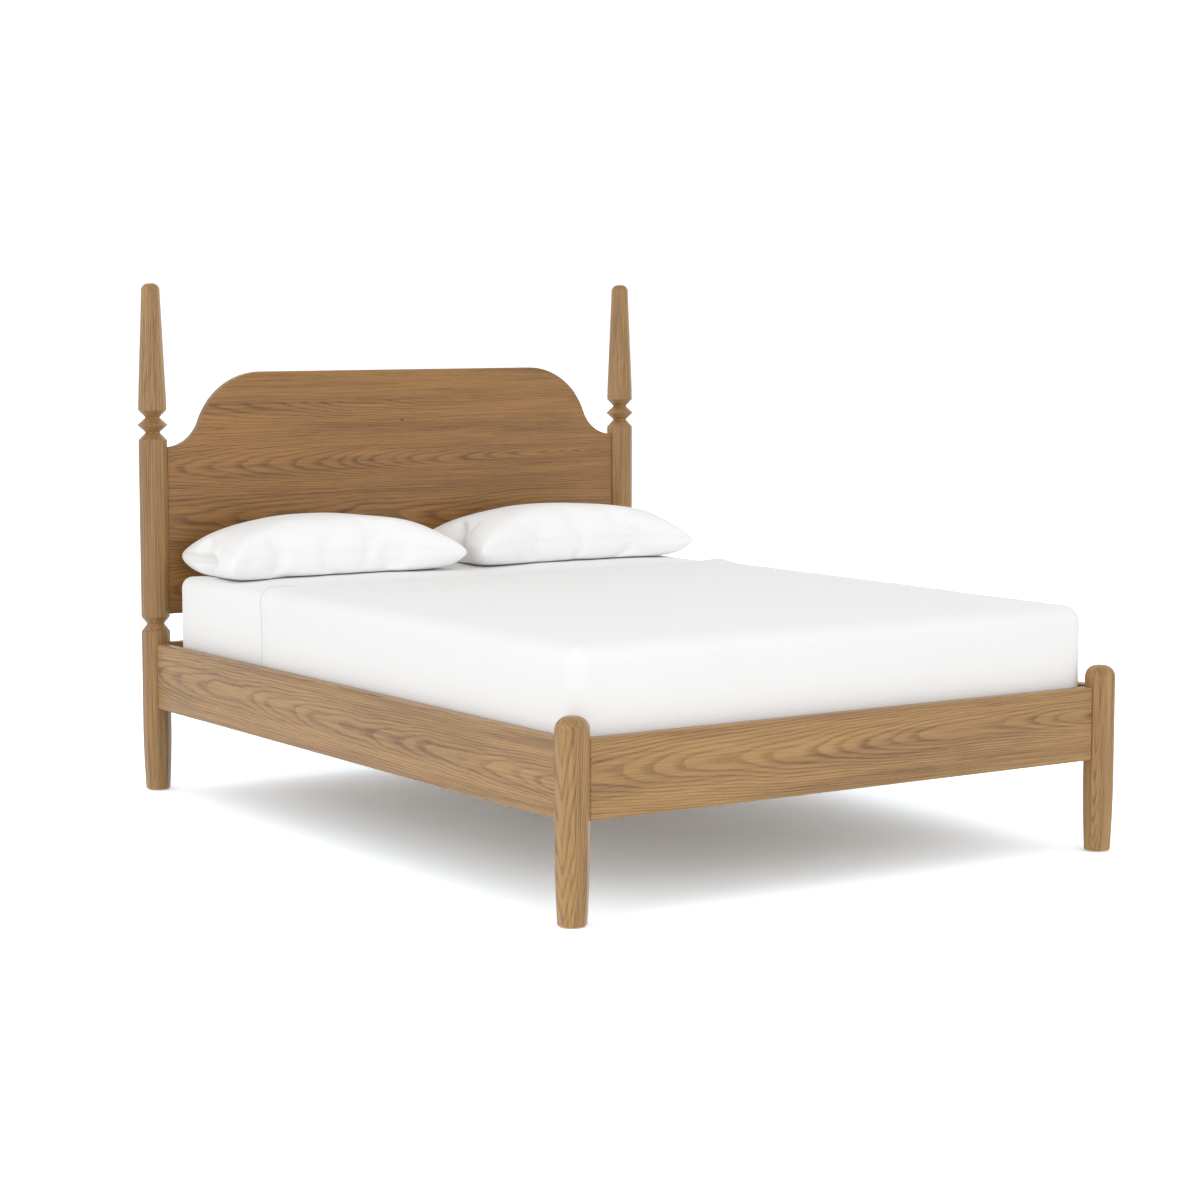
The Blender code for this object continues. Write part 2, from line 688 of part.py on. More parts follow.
def levelling_stud():
    """A threaded stud with a hexagon for the spanner and a ball end that sits in the pad."""
    ball_bottom = PAD_HEIGHT - PAD_SOCKET_DEPTH + GAP
    rings = [
        round_ring(STUD_BALL_RADIUS * 0.6, ball_bottom),
        round_ring(STUD_BALL_RADIUS, ball_bottom + BALL_ROUND),
        round_ring(STUD_BALL_RADIUS * 0.8, HEX_BOTTOM),
        hex_ring(STUD_HEX, HEX_BOTTOM),
        hex_ring(STUD_HEX, HEX_TOP),
        round_ring(STUD_RADIUS, HEX_TOP),
        round_ring(STUD_RADIUS, HEX_TOP + STUD_LENGTH - STUD_END_CHAMFER),
        round_ring(STUD_RADIUS * 0.75, HEX_TOP + STUD_LENGTH),
    ]
    add("levelling_stud", loft(rings), zinc_steel(), math.radians(35))


def levelling_pad():
    rings = [
        round_ring(PAD_RADIUS, 0.0, count=20),
        round_ring(PAD_RADIUS, PAD_HEIGHT * 0.45, count=20),
        round_ring(PAD_RADIUS * 0.55, PAD_HEIGHT, count=20),
    ]
    obj = add("levelling_pad", loft(rings), nylon(), math.radians(30))
    socket = STUD_BALL_RADIUS + RUNNING_PLAY
    floor = PAD_HEIGHT - PAD_SOCKET_DEPTH
    hole = [round_ring(socket, floor), round_ring(socket, PAD_HEIGHT + OVERSHOOT)]
    boolean(obj, loft(hole), "DIFFERENCE")
    return obj


def glide(name, x, y):
    """A nail-in nylon glide: a low disc on the floor and a pin up into the post."""
    rings = [
        round_ring(GLIDE_RADIUS * 0.86, 0.0, x, y, 16),
        round_ring(GLIDE_RADIUS, GLIDE_HEIGHT * 0.5, x, y, 16),
        round_ring(GLIDE_RADIUS, GLIDE_HEIGHT, x, y, 16),
        round_ring(GLIDE_PIN_RADIUS, GLIDE_HEIGHT, x, y, 16),
        round_ring(GLIDE_PIN_RADIUS, GLIDE_HEIGHT + GLIDE_PIN_LENGTH, x, y, 16),
    ]
    add(name, loft(rings), nylon(), math.radians(30))


def cushion_ring(half_x, half_y, corner, centre_y, z, steps, centre_x=0.0):
    """A rectangle with rounded corners, level at z."""
    points = []
    for k, (sx, sy) in enumerate(((1, 1), (-1, 1), (-1, -1), (1, -1))):
        for i in range(steps + 1):
            a = math.pi / 2 * (k + i / steps)
            px = sx * (half_x - corner) + corner * math.cos(a)
            py = sy * (half_y - corner) + corner * math.sin(a)
            points.append((centre_x + px, centre_y + py, z))
    return points


def block_rings(out, bottom, round_bottom, loft_up=0.0, corner=0.0, edge=0.0):
    """Rings of the mattress block, grown by this much all round but underneath.

    loft_up raises the top further; corner and edge replace the grown block's own radii.
    """
    half_y = (MATTRESS_HEAD_Y - MATTRESS_FOOT_Y) / 2 + out
    half_x = MATTRESS_HALF_WIDTH + out
    centre_y = (MATTRESS_HEAD_Y + MATTRESS_FOOT_Y) / 2
    top = BED_BOTTOM + MATTRESS_THICK + out + loft_up
    edge = edge or MATTRESS_EDGE + out
    corner = corner or MATTRESS_CORNER + out
    levels = []
    if round_bottom:
        for i in range(BLOCK_STEPS):
            a = math.pi / 2 * i / BLOCK_STEPS
            levels.append((edge * (1 - math.sin(a)), bottom + edge * (1 - math.cos(a))))
    else:
        levels.append((0.0, bottom))
    for i in range(BLOCK_STEPS + 1):
        a = math.pi / 2 * i / BLOCK_STEPS
        levels.append((edge * (1 - math.cos(a)), top - edge * (1 - math.sin(a))))
    rings = []
    for inset, z in levels:
        turn = max(corner - inset, LEAST_CORNER)
        rings.append(cushion_ring(half_x - inset, half_y - inset, turn, centre_y, z, CORNER_STEPS))
    return rings


def bedding_shell(name, inner_out, outer_out, loft_up=0.0, corner=0.0, edge=0.0):
    """A skin over the mattress, open underneath."""
    bottom = BED_BOTTOM + SKIRT_LIFT
    outside = loft(block_rings(outer_out, bottom, False, loft_up, corner, edge))
    obj = add(name, outside, white_cotton(), math.radians(40))
    boolean(obj, loft(block_rings(inner_out, bottom - SHELL_DEPTH, False)), "DIFFERENCE")
    return obj


def mattress():
    add("mattress", loft(block_rings(0.0, BED_BOTTOM, True)), ticking(), math.radians(40))


def top_cover():
    """The cover's skin, from its edge below the pillows to the foot."""
    obj = bedding_shell("top_cover", COVER_IN, COVER_OUT, COVER_LOFT, COVER_CORNER, COVER_EDGE)
    wide = HALF_X * 1.5
    away = box_between((-wide, COVER_HEAD_EDGE, 0.0), (wide, HALF_Y * 1.5, PANEL_TOP))
    boolean(obj, away, "DIFFERENCE")
    return obj


def pillow(name, side_x):
    """A crowned cushion that is flat where it lies on the sheet."""
    bottom = BED_BOTTOM + MATTRESS_THICK + SHEET_OUT + PILLOW_REST_GAP
    centre_y = PILLOW_BACK - PILLOW_DEPTH / 2
    centre_x = side_x * PILLOW_FROM_CENTRE + PILLOW_SHIFT
    rings = []
    for share, inset in PILLOW_LEVELS:
        half_x = PILLOW_WIDTH / 2 - inset
        half_y = PILLOW_DEPTH / 2 - inset
        corner = max(PILLOW_CORNER - inset * 0.4, PILLOW_LEAST_CORNER)
        z = bottom + PILLOW_THICK * share
        ring = cushion_ring(half_x, half_y, corner, centre_y, z, PILLOW_CORNER_STEPS, centre_x)
        rings.append(ring)
    add(name, loft(rings), white_cotton(), math.radians(60))


SIDES = {"left": -1, "right": 1}
ENDS = {"foot": -1, "head": 1}


def main():
    clear_scene()
    for side, side_x in SIDES.items():
        post(f"headpost_{side}", side_x, 1, head_post_profile())
        post(f"footpost_{side}", side_x, -1, foot_post_profile())
        side_rail(f"side_rail_{side}", side_x)
        ledge(f"slat_ledge_{side}", side_x)
        slat_strap(f"slat_strap_{side}", side_x)
        pillow(f"pillow_{side}", side_x)
        for end_name, end in ENDS.items():
            rail_hook_plate(f"rail_hook_plate_{end_name}_{side}", side_x, end)
            post_hook_plate(f"post_hook_plate_{end_name}_{side}", side_x, end)
            glide(f"glide_{end_name}_{side}", side_x * HALF_X, end * HALF_Y)
    for end_name, end in ENDS.items():
        cross_rail(f"{end_name}_rail", end)
        beam_hanger(f"beam_hanger_{end_name}", end)
    headboard_panel()
    slats()
    centre_beam()
    centre_leg()
    leg_hanger_bolt()
    leg_insert()
    levelling_stud()
    levelling_pad()
    mattress()
    bedding_shell("fitted_sheet", SHEET_GAP, SHEET_OUT)
    top_cover()


main()
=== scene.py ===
"""Poster bed in oak with a slatted base, mattress and white bedding.

Sizes are in metres, +Z is up and +Y goes to the head. The origin is on the floor, in the middle
of the bed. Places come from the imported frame, and each class below names its own sizes.
"""

import enum
import itertools
import logging
import math
import random
from dataclasses import dataclass
from typing import Callable, Iterable, Optional, Sequence, Union

import bmesh
import bpy
import numpy as np
from mathutils import Matrix, Vector, noise


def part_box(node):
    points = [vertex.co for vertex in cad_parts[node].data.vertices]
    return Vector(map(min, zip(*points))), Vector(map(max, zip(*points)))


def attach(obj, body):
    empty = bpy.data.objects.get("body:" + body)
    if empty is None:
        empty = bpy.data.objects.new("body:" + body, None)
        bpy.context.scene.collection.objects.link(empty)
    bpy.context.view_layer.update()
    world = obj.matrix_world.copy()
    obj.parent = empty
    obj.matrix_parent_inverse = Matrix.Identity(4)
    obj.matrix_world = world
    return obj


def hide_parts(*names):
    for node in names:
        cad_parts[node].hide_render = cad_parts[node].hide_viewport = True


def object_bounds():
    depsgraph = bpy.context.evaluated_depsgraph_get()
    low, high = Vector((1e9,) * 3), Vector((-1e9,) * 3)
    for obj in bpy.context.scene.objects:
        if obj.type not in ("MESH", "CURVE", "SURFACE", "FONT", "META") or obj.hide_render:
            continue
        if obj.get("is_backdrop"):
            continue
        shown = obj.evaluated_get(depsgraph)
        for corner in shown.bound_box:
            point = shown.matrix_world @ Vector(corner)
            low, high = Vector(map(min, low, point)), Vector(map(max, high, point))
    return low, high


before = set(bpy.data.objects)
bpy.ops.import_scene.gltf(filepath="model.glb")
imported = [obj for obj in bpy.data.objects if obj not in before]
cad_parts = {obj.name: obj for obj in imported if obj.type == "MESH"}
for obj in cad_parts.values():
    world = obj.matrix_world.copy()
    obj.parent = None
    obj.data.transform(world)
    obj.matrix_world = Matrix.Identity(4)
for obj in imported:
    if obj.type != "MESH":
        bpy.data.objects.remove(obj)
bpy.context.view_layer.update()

logging.basicConfig(level=logging.INFO, format="%(message)s")
LOG = logging.getLogger("poster_bed")

Point = tuple[float, float, float]
Flat = tuple[float, float]
Value = Union[float, "Wire"]

FRAME_BODY = "bed_frame"
MATTRESS_BODY = "mattress_and_sheets"
TIE_WEIGHT = 50


# ---------------------------------------------------------------- shader wiring


class Wire:
    """A number or vector that leaves a node's socket, with the operators of plain maths."""

    def __init__(self, tree: bpy.types.NodeTree, socket: bpy.types.NodeSocket) -> None:
        """Keeps the tree and the socket that the value leaves.

        Args:
            tree: The material's node tree.
            socket: The output socket.
        """
        self.tree = tree
        self.socket = socket

    def maths(self, operation: str, *others: Value, before: bool = False) -> "Wire":
        """Adds one Math node.

        Args:
            operation: Blender's name of the operation.
            others: The other operands, as numbers or wires.
            before: Whether the first other operand comes first.

        Returns:
            The result.
        """
        operands = [others[0], self] if before else [self, *others]
        return add_node(self.tree, "ShaderNodeMath", {"operation": operation}, dict(enumerate(operands)))

    def __add__(self, other: Value) -> "Wire":
        """Returns self + other."""
        return self.maths("ADD", other)

    def __sub__(self, other: Value) -> "Wire":
        """Returns self - other."""
        return self.maths("SUBTRACT", other)

    def __rsub__(self, other: Value) -> "Wire":
        """Returns other - self."""
        return self.maths("SUBTRACT", other, before=True)

    def __mul__(self, other: Value) -> "Wire":
        """Returns self * other."""
        return self.maths("MULTIPLY", other)

    def __truediv__(self, other: Value) -> "Wire":
        """Returns self / other."""
        return self.maths("DIVIDE", other)

    def __rtruediv__(self, other: Value) -> "Wire":
        """Returns other / self."""
        return self.maths("DIVIDE", other, before=True)

    __radd__ = __add__
    __rmul__ = __mul__

    def rise(self, low: float, high: float) -> "Wire":
        """Returns 0 below low and 1 above high, with a soft step between."""
        values = {"Value": self, "From Min": low, "From Max": high}
        return add_node(self.tree, "ShaderNodeMapRange", {"interpolation_type": "SMOOTHSTEP"}, values)

    def wave(self) -> "Wire":
        """Returns the sine."""
        return self.maths("SINE")

    def size(self) -> "Wire":
        """Returns the absolute value."""
        return self.maths("ABSOLUTE")

    def part(self) -> "Wire":
        """Returns the fractional part."""
        return self.maths("FRACT")


def plug(tree: bpy.types.NodeTree, socket: bpy.types.NodeSocket, value: object) -> None:
    """Links wires to a socket, or sets the socket's own value.

    Args:
        tree: The node tree.
        socket: The input socket.
        value: A wire, a list of wires, a number, or a tuple. A colour may leave out its alpha.
    """
    if isinstance(value, Wire):
        tree.links.new(value.socket, socket)
    elif isinstance(value, list):
        for wire in value:
            tree.links.new(wire.socket, socket)
    elif socket.type == "RGBA" and len(value) == 3:
        socket.default_value = (*value, 1.0)
    else:
        socket.default_value = value


def add_node(tree: bpy.types.NodeTree, kind: str, settings: Optional[dict] = None,
             values: Optional[dict] = None, out: Union[int, str] = 0) -> Wire:
    """Adds a node: its settings first, then its sockets' values and links.

    Args:
        tree: The node tree.
        kind: The node's type.
        settings: Attributes to set.
        values: Values or wires by socket name or number.
        out: Which output to return.

    Returns:
        The output asked for.
    """
    made = tree.nodes.new(kind)
    for key, value in (settings or {}).items():
        setattr(made, key, value)
    for key, value in (values or {}).items():
        plug(tree, made.inputs[key], value)
    return Wire(tree, made.outputs[out])


class Nodes:
    """A node tree and the short ways to add to it."""

    tree: bpy.types.NodeTree

    def node(self, kind: str, settings: Optional[dict] = None, values: Optional[dict] = None,
             out: Union[int, str] = 0) -> Wire:
        """Adds a node to this tree, as add_node does."""
        return add_node(self.tree, kind, settings, values, out)

    def split(self, vector: Wire) -> tuple[Wire, Wire, Wire]:
        """Returns the three numbers of a vector."""
        made = self.node("ShaderNodeSeparateXYZ", values={0: vector}).socket.node
        return tuple(Wire(self.tree, output) for output in made.outputs)

    def point(self, x: Value, y: Value, z: Value) -> Wire:
        """Returns a vector of three numbers."""
        return self.node("ShaderNodeCombineXYZ", values={0: x, 1: y, 2: z})


class Paint(Nodes):
    """One material and the nodes that make it."""

    MIX_SHARE, MIX_FIRST, MIX_SECOND = 0, 6, 7
    MIX_RESULT = 2

    def __init__(self, name: str) -> None:
        """Starts an empty material with a Principled shader.

        Args:
            name: The material's name.
        """
        self.material = bpy.data.materials.new(name)
        self.material.use_nodes = True
        self.tree = self.material.node_tree
        self.shader = self.tree.nodes["Principled BSDF"]

    def place(self) -> tuple[Wire, Wire, Wire]:
        """Returns the X, Y and Z of the piece's own Object coordinates, in metres."""
        spot = self.node("ShaderNodeTexCoord", out="Object")
        return self.split(spot)

    def cloth_place(self) -> tuple[Wire, Wire]:
        """Returns the U and V of the piece's own map, in metres of cloth."""
        spot = self.node("ShaderNodeUVMap", {"uv_map": "cloth"})
        u, v, _ = self.split(spot)
        return u, v

    def noise(self, x: Value, y: Value, z: Value, detail: float = 2.0, rough: float = 0.5) -> Wire:
        """Returns smooth noise from 0 to 1 at a scaled place."""
        values = {"Vector": self.point(x, y, z), "Scale": 1.0, "Detail": detail, "Roughness": rough}
        return self.node("ShaderNodeTexNoise", values=values)

    def mix(self, share: Value, first: object, second: object) -> Wire:
        """Returns the mix of two colours."""
        values = {self.MIX_SHARE: share, self.MIX_FIRST: first, self.MIX_SECOND: second}
        return self.node("ShaderNodeMix", {"data_type": "RGBA"}, values, self.MIX_RESULT)

    def relief(self, height: Wire, depth: float) -> None:
        """Feeds a bump to the shader's Normal.

        Args:
            height: The relief, from 0 to 1.
            depth: What a height of 1 stands for, in metres.
        """
        bump = self.node("ShaderNodeBump", values={"Height": height, "Distance": depth})
        plug(self.tree, self.shader.inputs["Normal"], bump)

    def set(self, **sockets: object) -> None:
        """Sets or feeds the shader's sockets, named with underscores for spaces."""
        for name, value in sockets.items():
            plug(self.tree, self.shader.inputs[name.replace("_", " ")], value)


class Room(Nodes):
    """The world around the bed."""

    def __init__(self, name: str) -> None:
        """Starts a world with a Background shader.

        Args:
            name: The world's name.
        """
        self.world = bpy.data.worlds.new(name)
        self.world.use_nodes = True
        self.tree = self.world.node_tree
        self.shader = self.tree.nodes["Background"]


# ---------------------------------------------------------------- finishes


class Grain(enum.Enum):
    """The way the grain runs in a board."""

    ACROSS_BED = (0, 1, 2)
    ALONG_BED = (1, 0, 2)
    UPRIGHT = (2, 0, 1)


@dataclass(frozen=True)
class Board:
    """How one board was sawn from its log.

    Attributes:
        heart: The log's middle beside the board, over the grain's two cross directions.
        tilt: How far that middle moves over a metre of grain.
        ring: The width of a year's growth.
        low: Where the board starts, on the second cross direction, for a board in a panel.
    """

    heart: Flat
    tilt: Flat = (0.0, 0.0)
    ring: float = 0.0042
    low: float = -10.0


@dataclass(frozen=True)
class Oak:
    """Satin oak, with growth rings, open pores and a tone that wanders.

    Attributes:
        name: The finish's name.
        grain: The way the grain runs.
        boards: The boards of the piece, lowest first.
        seed: Shifts the noise.
        tone: Lightness of this piece, 1 being the usual. The headboard's lower tone is painted shade.
        warmth: Under 1, the green and blue are held back, for a browner piece.
        knot: Where a small knot sits, over the grain and the second cross direction.
        slot: The record's slot.
        pale: The wood between the growth rings' pores.
        dark: The rings' early wood.
        pore: The open pores and the knot.
        satin: Roughness between the pores.
        held_back: How strongly warmth acts on red, green and blue.
        knot_swell: How fast the rings' bulge round the knot fades, with and across the grain.
        knot_size: The same for the knot itself.
        knot_lift: How far the rings bulge.
        wander: How far the rings stray from true circles.
        fret: How ragged the rings' edges are.
    """

    name: str
    grain: Grain
    boards: tuple[Board, ...]
    seed: float
    tone: float = 1.0
    knot: Optional[Flat] = None
    slot: str = "oak"
    warmth: float = 1.0
    pale: Point = (0.438, 0.248, 0.086)
    dark: Point = (0.158, 0.078, 0.024)
    pore: Point = (0.110, 0.052, 0.020)
    satin: float = 0.40
    held_back: Point = (0.0, 0.65, 2.0)
    knot_swell: Flat = (1800.0, 9000.0)
    knot_size: Flat = (18000.0, 60000.0)
    knot_lift: float = 0.010
    wander: float = 0.030
    fret: float = 0.0022

    def staged(self, paint: Paint, across: Wire, pick: Callable[[Board], float]) -> Value:
        """A value that changes from board to board across a panel.

        Args:
            paint: The material. Not used.
            across: The second cross direction.
            pick: What to take from each board.

        Returns:
            The value at a place.
        """
        result: Value = pick(self.boards[0])
        for board, last in zip(self.boards[1:], self.boards):
            step = across.maths("GREATER_THAN", board.low)
            result = step * (pick(board) - pick(last)) + result
        return result

    def make(self) -> bpy.types.Material:
        """Paints the finish.

        Returns:
            Its material.
        """
        paint = Paint(self.name)
        places = paint.place()
        along, side, across = (places[i] for i in self.grain.value)
        s = self.seed
        lift: Value = 0.0
        knot = None
        if self.knot:
            squares = tuple(off * off for off in (along - self.knot[0], across - self.knot[1]))
            near, far = (squares[0] * by[0] + squares[1] * by[1] for by in (self.knot_swell, self.knot_size))
            lift = 1.0 / (1.0 + near) * self.knot_lift
            knot = 1.0 - far.rise(0.35, 1.3)
        wander_a = paint.noise(along * 1.7 + s, side * 3.0, across * 3.0 + s, 2.0)
        wander_b = paint.noise(along * 2.1 + (s + 7.3), side * 3.0 + s, across * 3.0, 2.0)
        fret = paint.noise(along * 14.0 + s, side * 70.0, across * 70.0, 2.0)
        heart = [self.staged(paint, across, lambda board, i=i: board.heart[i]) for i in range(2)]
        tilt = [self.staged(paint, across, lambda board, i=i: board.tilt[i]) for i in range(2)]
        ring = self.staged(paint, across, lambda board: board.ring)
        from_side = side - heart[0] - along * tilt[0] + (wander_a - 0.5) * self.wander
        from_across = across - heart[1] - along * tilt[1] + (wander_b - 0.5) * self.wander + lift
        reach = (from_side * from_side + from_across * from_across).maths("SQRT")
        years = (reach + (fret - 0.5) * self.fret) / ring
        year = years.part()
        each = paint.noise(years.maths("FLOOR") * 0.61 + s, 0.0, 0.0, 0.0)
        early = year.rise(0.0, 0.12) * (1.0 - year.rise(0.18, 0.62)) * (each * 1.1 + 0.28)
        broad = paint.noise(along * 0.9 + s, side * 26.0, across * 26.0, 3.0)
        fine = paint.noise(along * 3.2, side * 170.0 + s, across * 170.0, 3.0, 0.6)
        fibre = paint.noise(along * 16.0 + s, side * 720.0, across * 720.0, 2.0, 0.6)
        pores = paint.noise(along * 70.0, side * 1500.0, across * 1500.0 + s, 1.0)
        pored = pores.rise(0.56, 0.70) * (early * 0.75 + 0.22)
        blotch = paint.noise(along * 2.4, side * 5.0 + s, across * 7.0, 2.0)
        depth = early * 0.46 + (broad - 0.5) * 1.00 + (fine - 0.5) * 1.50 + (fibre - 0.5) * 0.95
        depth = (depth + (blotch - 0.5) * 0.40 + 0.24).maths("MAXIMUM", 0.0)
        colour = paint.mix(depth.maths("MINIMUM", 1.0), self.shade(self.pale), self.shade(self.dark))
        colour = paint.mix(pored * 0.50, colour, self.shade(self.pore))
        if knot:
            colour = paint.mix(knot * 0.72, colour, self.shade(self.pore))
        paint.set(Base_Color=colour, Roughness=self.satin + pored * 0.25 + (fine - 0.5) * 0.08)
        paint.set(Coat_Weight=0.16 - pored * 0.12, Coat_Roughness=0.30, IOR=1.5)
        paint.relief(1.0 - pored * 0.8 - early * 0.25 + (fibre - 0.5) * 0.25, 0.00022)
        return paint.material

    def shade(self, colour: Point) -> Point:
        """Returns a colour at this piece's lightness."""
        return tuple(c * self.tone * self.warmth ** k for k, c in zip(self.held_back, colour))


@dataclass(frozen=True)
class Pine:
    """Planed, unfinished softwood with wide soft rings and fine saw ripple."""

    name: str
    grain: Grain
    seed: float
    slot: str = "pine"
    pale: Point = (0.66, 0.50, 0.31)
    dark: Point = (0.46, 0.29, 0.14)

    def make(self) -> bpy.types.Material:
        """Paints the finish.

        Returns:
            Its material.
        """
        paint = Paint(self.name)
        places = paint.place()
        along, side, across = (places[i] for i in self.grain.value)
        s = self.seed
        wander = paint.noise(along * 1.4 + s, side * 5.0, across * 5.0, 2.0)
        depth_in = across + 0.055 + along * 0.03 + (wander - 0.5) * 0.05
        reach = (side * side * 0.04 + depth_in * depth_in).maths("SQRT")
        year = (reach / 0.0065).part()
        late = year.rise(0.25, 0.85) * (1.0 - year.rise(0.90, 1.0))
        fibre = paint.noise(along * 14.0, side * 600.0, across * 600.0 + s, 2.0)
        tone = paint.noise(along * 1.0 + s, side * 6.0, across * 12.0, 2.0)
        ripple = (along * (2.0 * math.pi / 0.006)).wave() * 0.5 + 0.5
        depth = late * 0.55 + (fibre - 0.5) * 0.5 + (tone - 0.5) * 0.6 + 0.18
        colour = paint.mix(depth.maths("MAXIMUM", 0.0).maths("MINIMUM", 1.0), self.pale, self.dark)
        paint.set(Base_Color=colour, Roughness=0.62 + (fibre - 0.5) * 0.2, Coat_Weight=0.0)
        paint.relief(late * 0.4 + fibre * 0.4 + ripple * 0.2, 0.00018)
        return paint.material


@dataclass(frozen=True)
class ZincSteel:
    """Bright zinc-plated steel, with a rolled grain and faint cloudy plating."""

    name: str = "zinc plated steel"
    slot: str = "zinc_steel"

    def make(self) -> bpy.types.Material:
        """Paints the finish.

        Returns:
            Its material.
        """
        paint = Paint(self.name)
        x, y, z = paint.place()
        cloud = paint.noise(x * 60.0, y * 60.0, z * 60.0, 4.0, 0.6)
        rolled = paint.noise(x * 90.0, y * 90.0, z * 1600.0, 2.0)
        wear = paint.noise(x * 240.0, y * 240.0, z * 240.0, 2.0).rise(0.58, 0.75)
        colour = paint.mix(cloud, (0.50, 0.51, 0.53), (0.70, 0.70, 0.69))
        colour = paint.mix(wear * 0.35, colour, (0.33, 0.32, 0.30))
        paint.set(Base_Color=colour, Metallic=1.0, Roughness=0.30 + cloud * 0.14 + wear * 0.12)
        paint.relief(rolled * 0.5 + cloud * 0.5, 0.00006)
        return paint.material


@dataclass(frozen=True)
class Nylon:
    """Moulded dark nylon with a fine spark-eroded texture and scuffs."""

    name: str = "moulded nylon"
    slot: str = "nylon"

    def make(self) -> bpy.types.Material:
        """Paints the finish.

        Returns:
            Its material.
        """
        paint = Paint(self.name)
        x, y, z = paint.place()
        grain = paint.noise(x * 2200.0, y * 2200.0, z * 2200.0, 2.0)
        scuff = paint.noise(x * 140.0, y * 260.0, z * 140.0, 4.0, 0.7).rise(0.52, 0.72)
        colour = paint.mix(scuff * 0.5, (0.040, 0.034, 0.030), (0.115, 0.105, 0.095))
        paint.set(Base_Color=colour, Roughness=0.44 + scuff * 0.22 + (grain - 0.5) * 0.1)
        paint.relief(grain, 0.00005)
        return paint.material


@dataclass(frozen=True)
class Cotton:
    """White plain-woven cotton. Its threads run along the piece's own cloth map.

    Attributes:
        name: The finish's name.
        pitch: From thread to thread.
        white: Its colour.
        slot: The record's slot.
    """

    name: str
    pitch: float = 0.0006
    white: Point = (0.925, 0.925, 0.923)
    slot: str = "white_cotton"

    def make(self) -> bpy.types.Material:
        """Paints the finish.

        Returns:
            Its material.
        """
        paint = Paint(self.name)
        u, v = paint.cloth_place()
        slub_u = paint.noise(u * 30.0, v * 900.0, 0.0, 2.0)
        slub_v = paint.noise(u * 900.0, v * 30.0, 3.0, 2.0)
        turn = math.pi / self.pitch
        warp = (u * turn + slub_v * 0.8).wave()
        weft = (v * turn + slub_u * 0.8).wave()
        over = (warp * weft).size()
        threads = over * 0.6 + (slub_u + slub_v) * 0.2
        soft = paint.noise(u * 5.0, v * 5.0, 0.0, 3.0)
        faint = tuple(c * 0.93 for c in self.white)
        colour = paint.mix(threads * 0.55 + soft * 0.25, faint, self.white)
        paint.set(Base_Color=colour, Roughness=0.88 - threads * 0.06, Specular_IOR_Level=0.25)
        paint.set(Sheen_Weight=0.12, Sheen_Roughness=0.5)
        paint.relief(threads, 0.00010)
        return paint.material


@dataclass(frozen=True)
class Ticking:
    """Quilted mattress ticking: a diagonal quilt over a fine knitted face, with painted shade in its sunk
    lines.
    """

    name: str = "quilted ticking"
    slot: str = "ticking"
    quilt: float = 0.085

    def make(self) -> bpy.types.Material:
        """Paints the finish.

        Returns:
            Its material.
        """
        paint = Paint(self.name)
        x, y, z = paint.place()
        turn = math.pi / self.quilt
        one = ((x + y) * turn).wave().size()
        two = ((x - y) * turn).wave().size()
        quilt_puff_and_shade = one.maths("MINIMUM", two).rise(0.0, 0.5)
        knit = ((x * 3500.0).wave() * (y * 3500.0).wave()).size()
        yarn = paint.noise(x * 400.0, y * 400.0, z * 400.0, 2.0)
        # Painted shade: the colour goes darker down in the quilt's sunk lines. The knit and yarn marks are
        # the cloth's own.
        colour = paint.mix(quilt_puff_and_shade * 0.7 + knit * 0.15 + yarn * 0.15, (0.66, 0.645, 0.61), (0.82, 0.81, 0.78))
        paint.set(Base_Color=colour, Roughness=0.86 + (yarn - 0.5) * 0.1, Sheen_Weight=0.1)
        paint.relief(quilt_puff_and_shade * 0.92 + knit * 0.05 + yarn * 0.03, 0.0035)
        return paint.material


@dataclass(frozen=True)
class Webbing:
    """Woven polypropylene webbing with a herringbone face and tight edges."""

    name: str = "woven webbing"
    slot: str = "webbing"
    pitch: float = 0.0016

    def make(self) -> bpy.types.Material:
        """Paints the finish.

        Returns:
            Its material.
        """
        paint = Paint(self.name)
        u, v = paint.cloth_place()
        turn = 2.0 * math.pi / self.pitch
        slant = (u * (2.0 * math.pi / 0.0125)).wave().size() * 5.0
        rib = (v * turn + slant).wave() * 0.5 + 0.5
        cord = (u * turn).wave() * 0.5 + 0.5
        fuzz = paint.noise(u * 1500.0, v * 400.0, 0.0, 2.0)
        face = rib * 0.6 + cord * 0.25 + fuzz * 0.15
        colour = paint.mix(face, (0.40, 0.385, 0.35), (0.70, 0.685, 0.64))
        paint.set(Base_Color=colour, Roughness=0.78 + (fuzz - 0.5) * 0.2)
        paint.relief(face, 0.0003)
        return paint.material


@dataclass(frozen=True)
class Thread:
    """Twisted sewing thread."""

    name: str
    colour: Point
    slot: str

    def make(self) -> bpy.types.Material:
        """Paints the finish.

        Returns:
            Its material.
        """
        paint = Paint(self.name)
        x, y, z = paint.place()
        twist = ((x + y + z) * 9000.0).wave() * 0.5 + 0.5
        faint = tuple(c * 0.82 for c in self.colour)
        paint.set(Base_Color=paint.mix(twist, faint, self.colour), Roughness=0.62 + twist * 0.1)
        paint.relief(twist, 0.00005)
        return paint.material


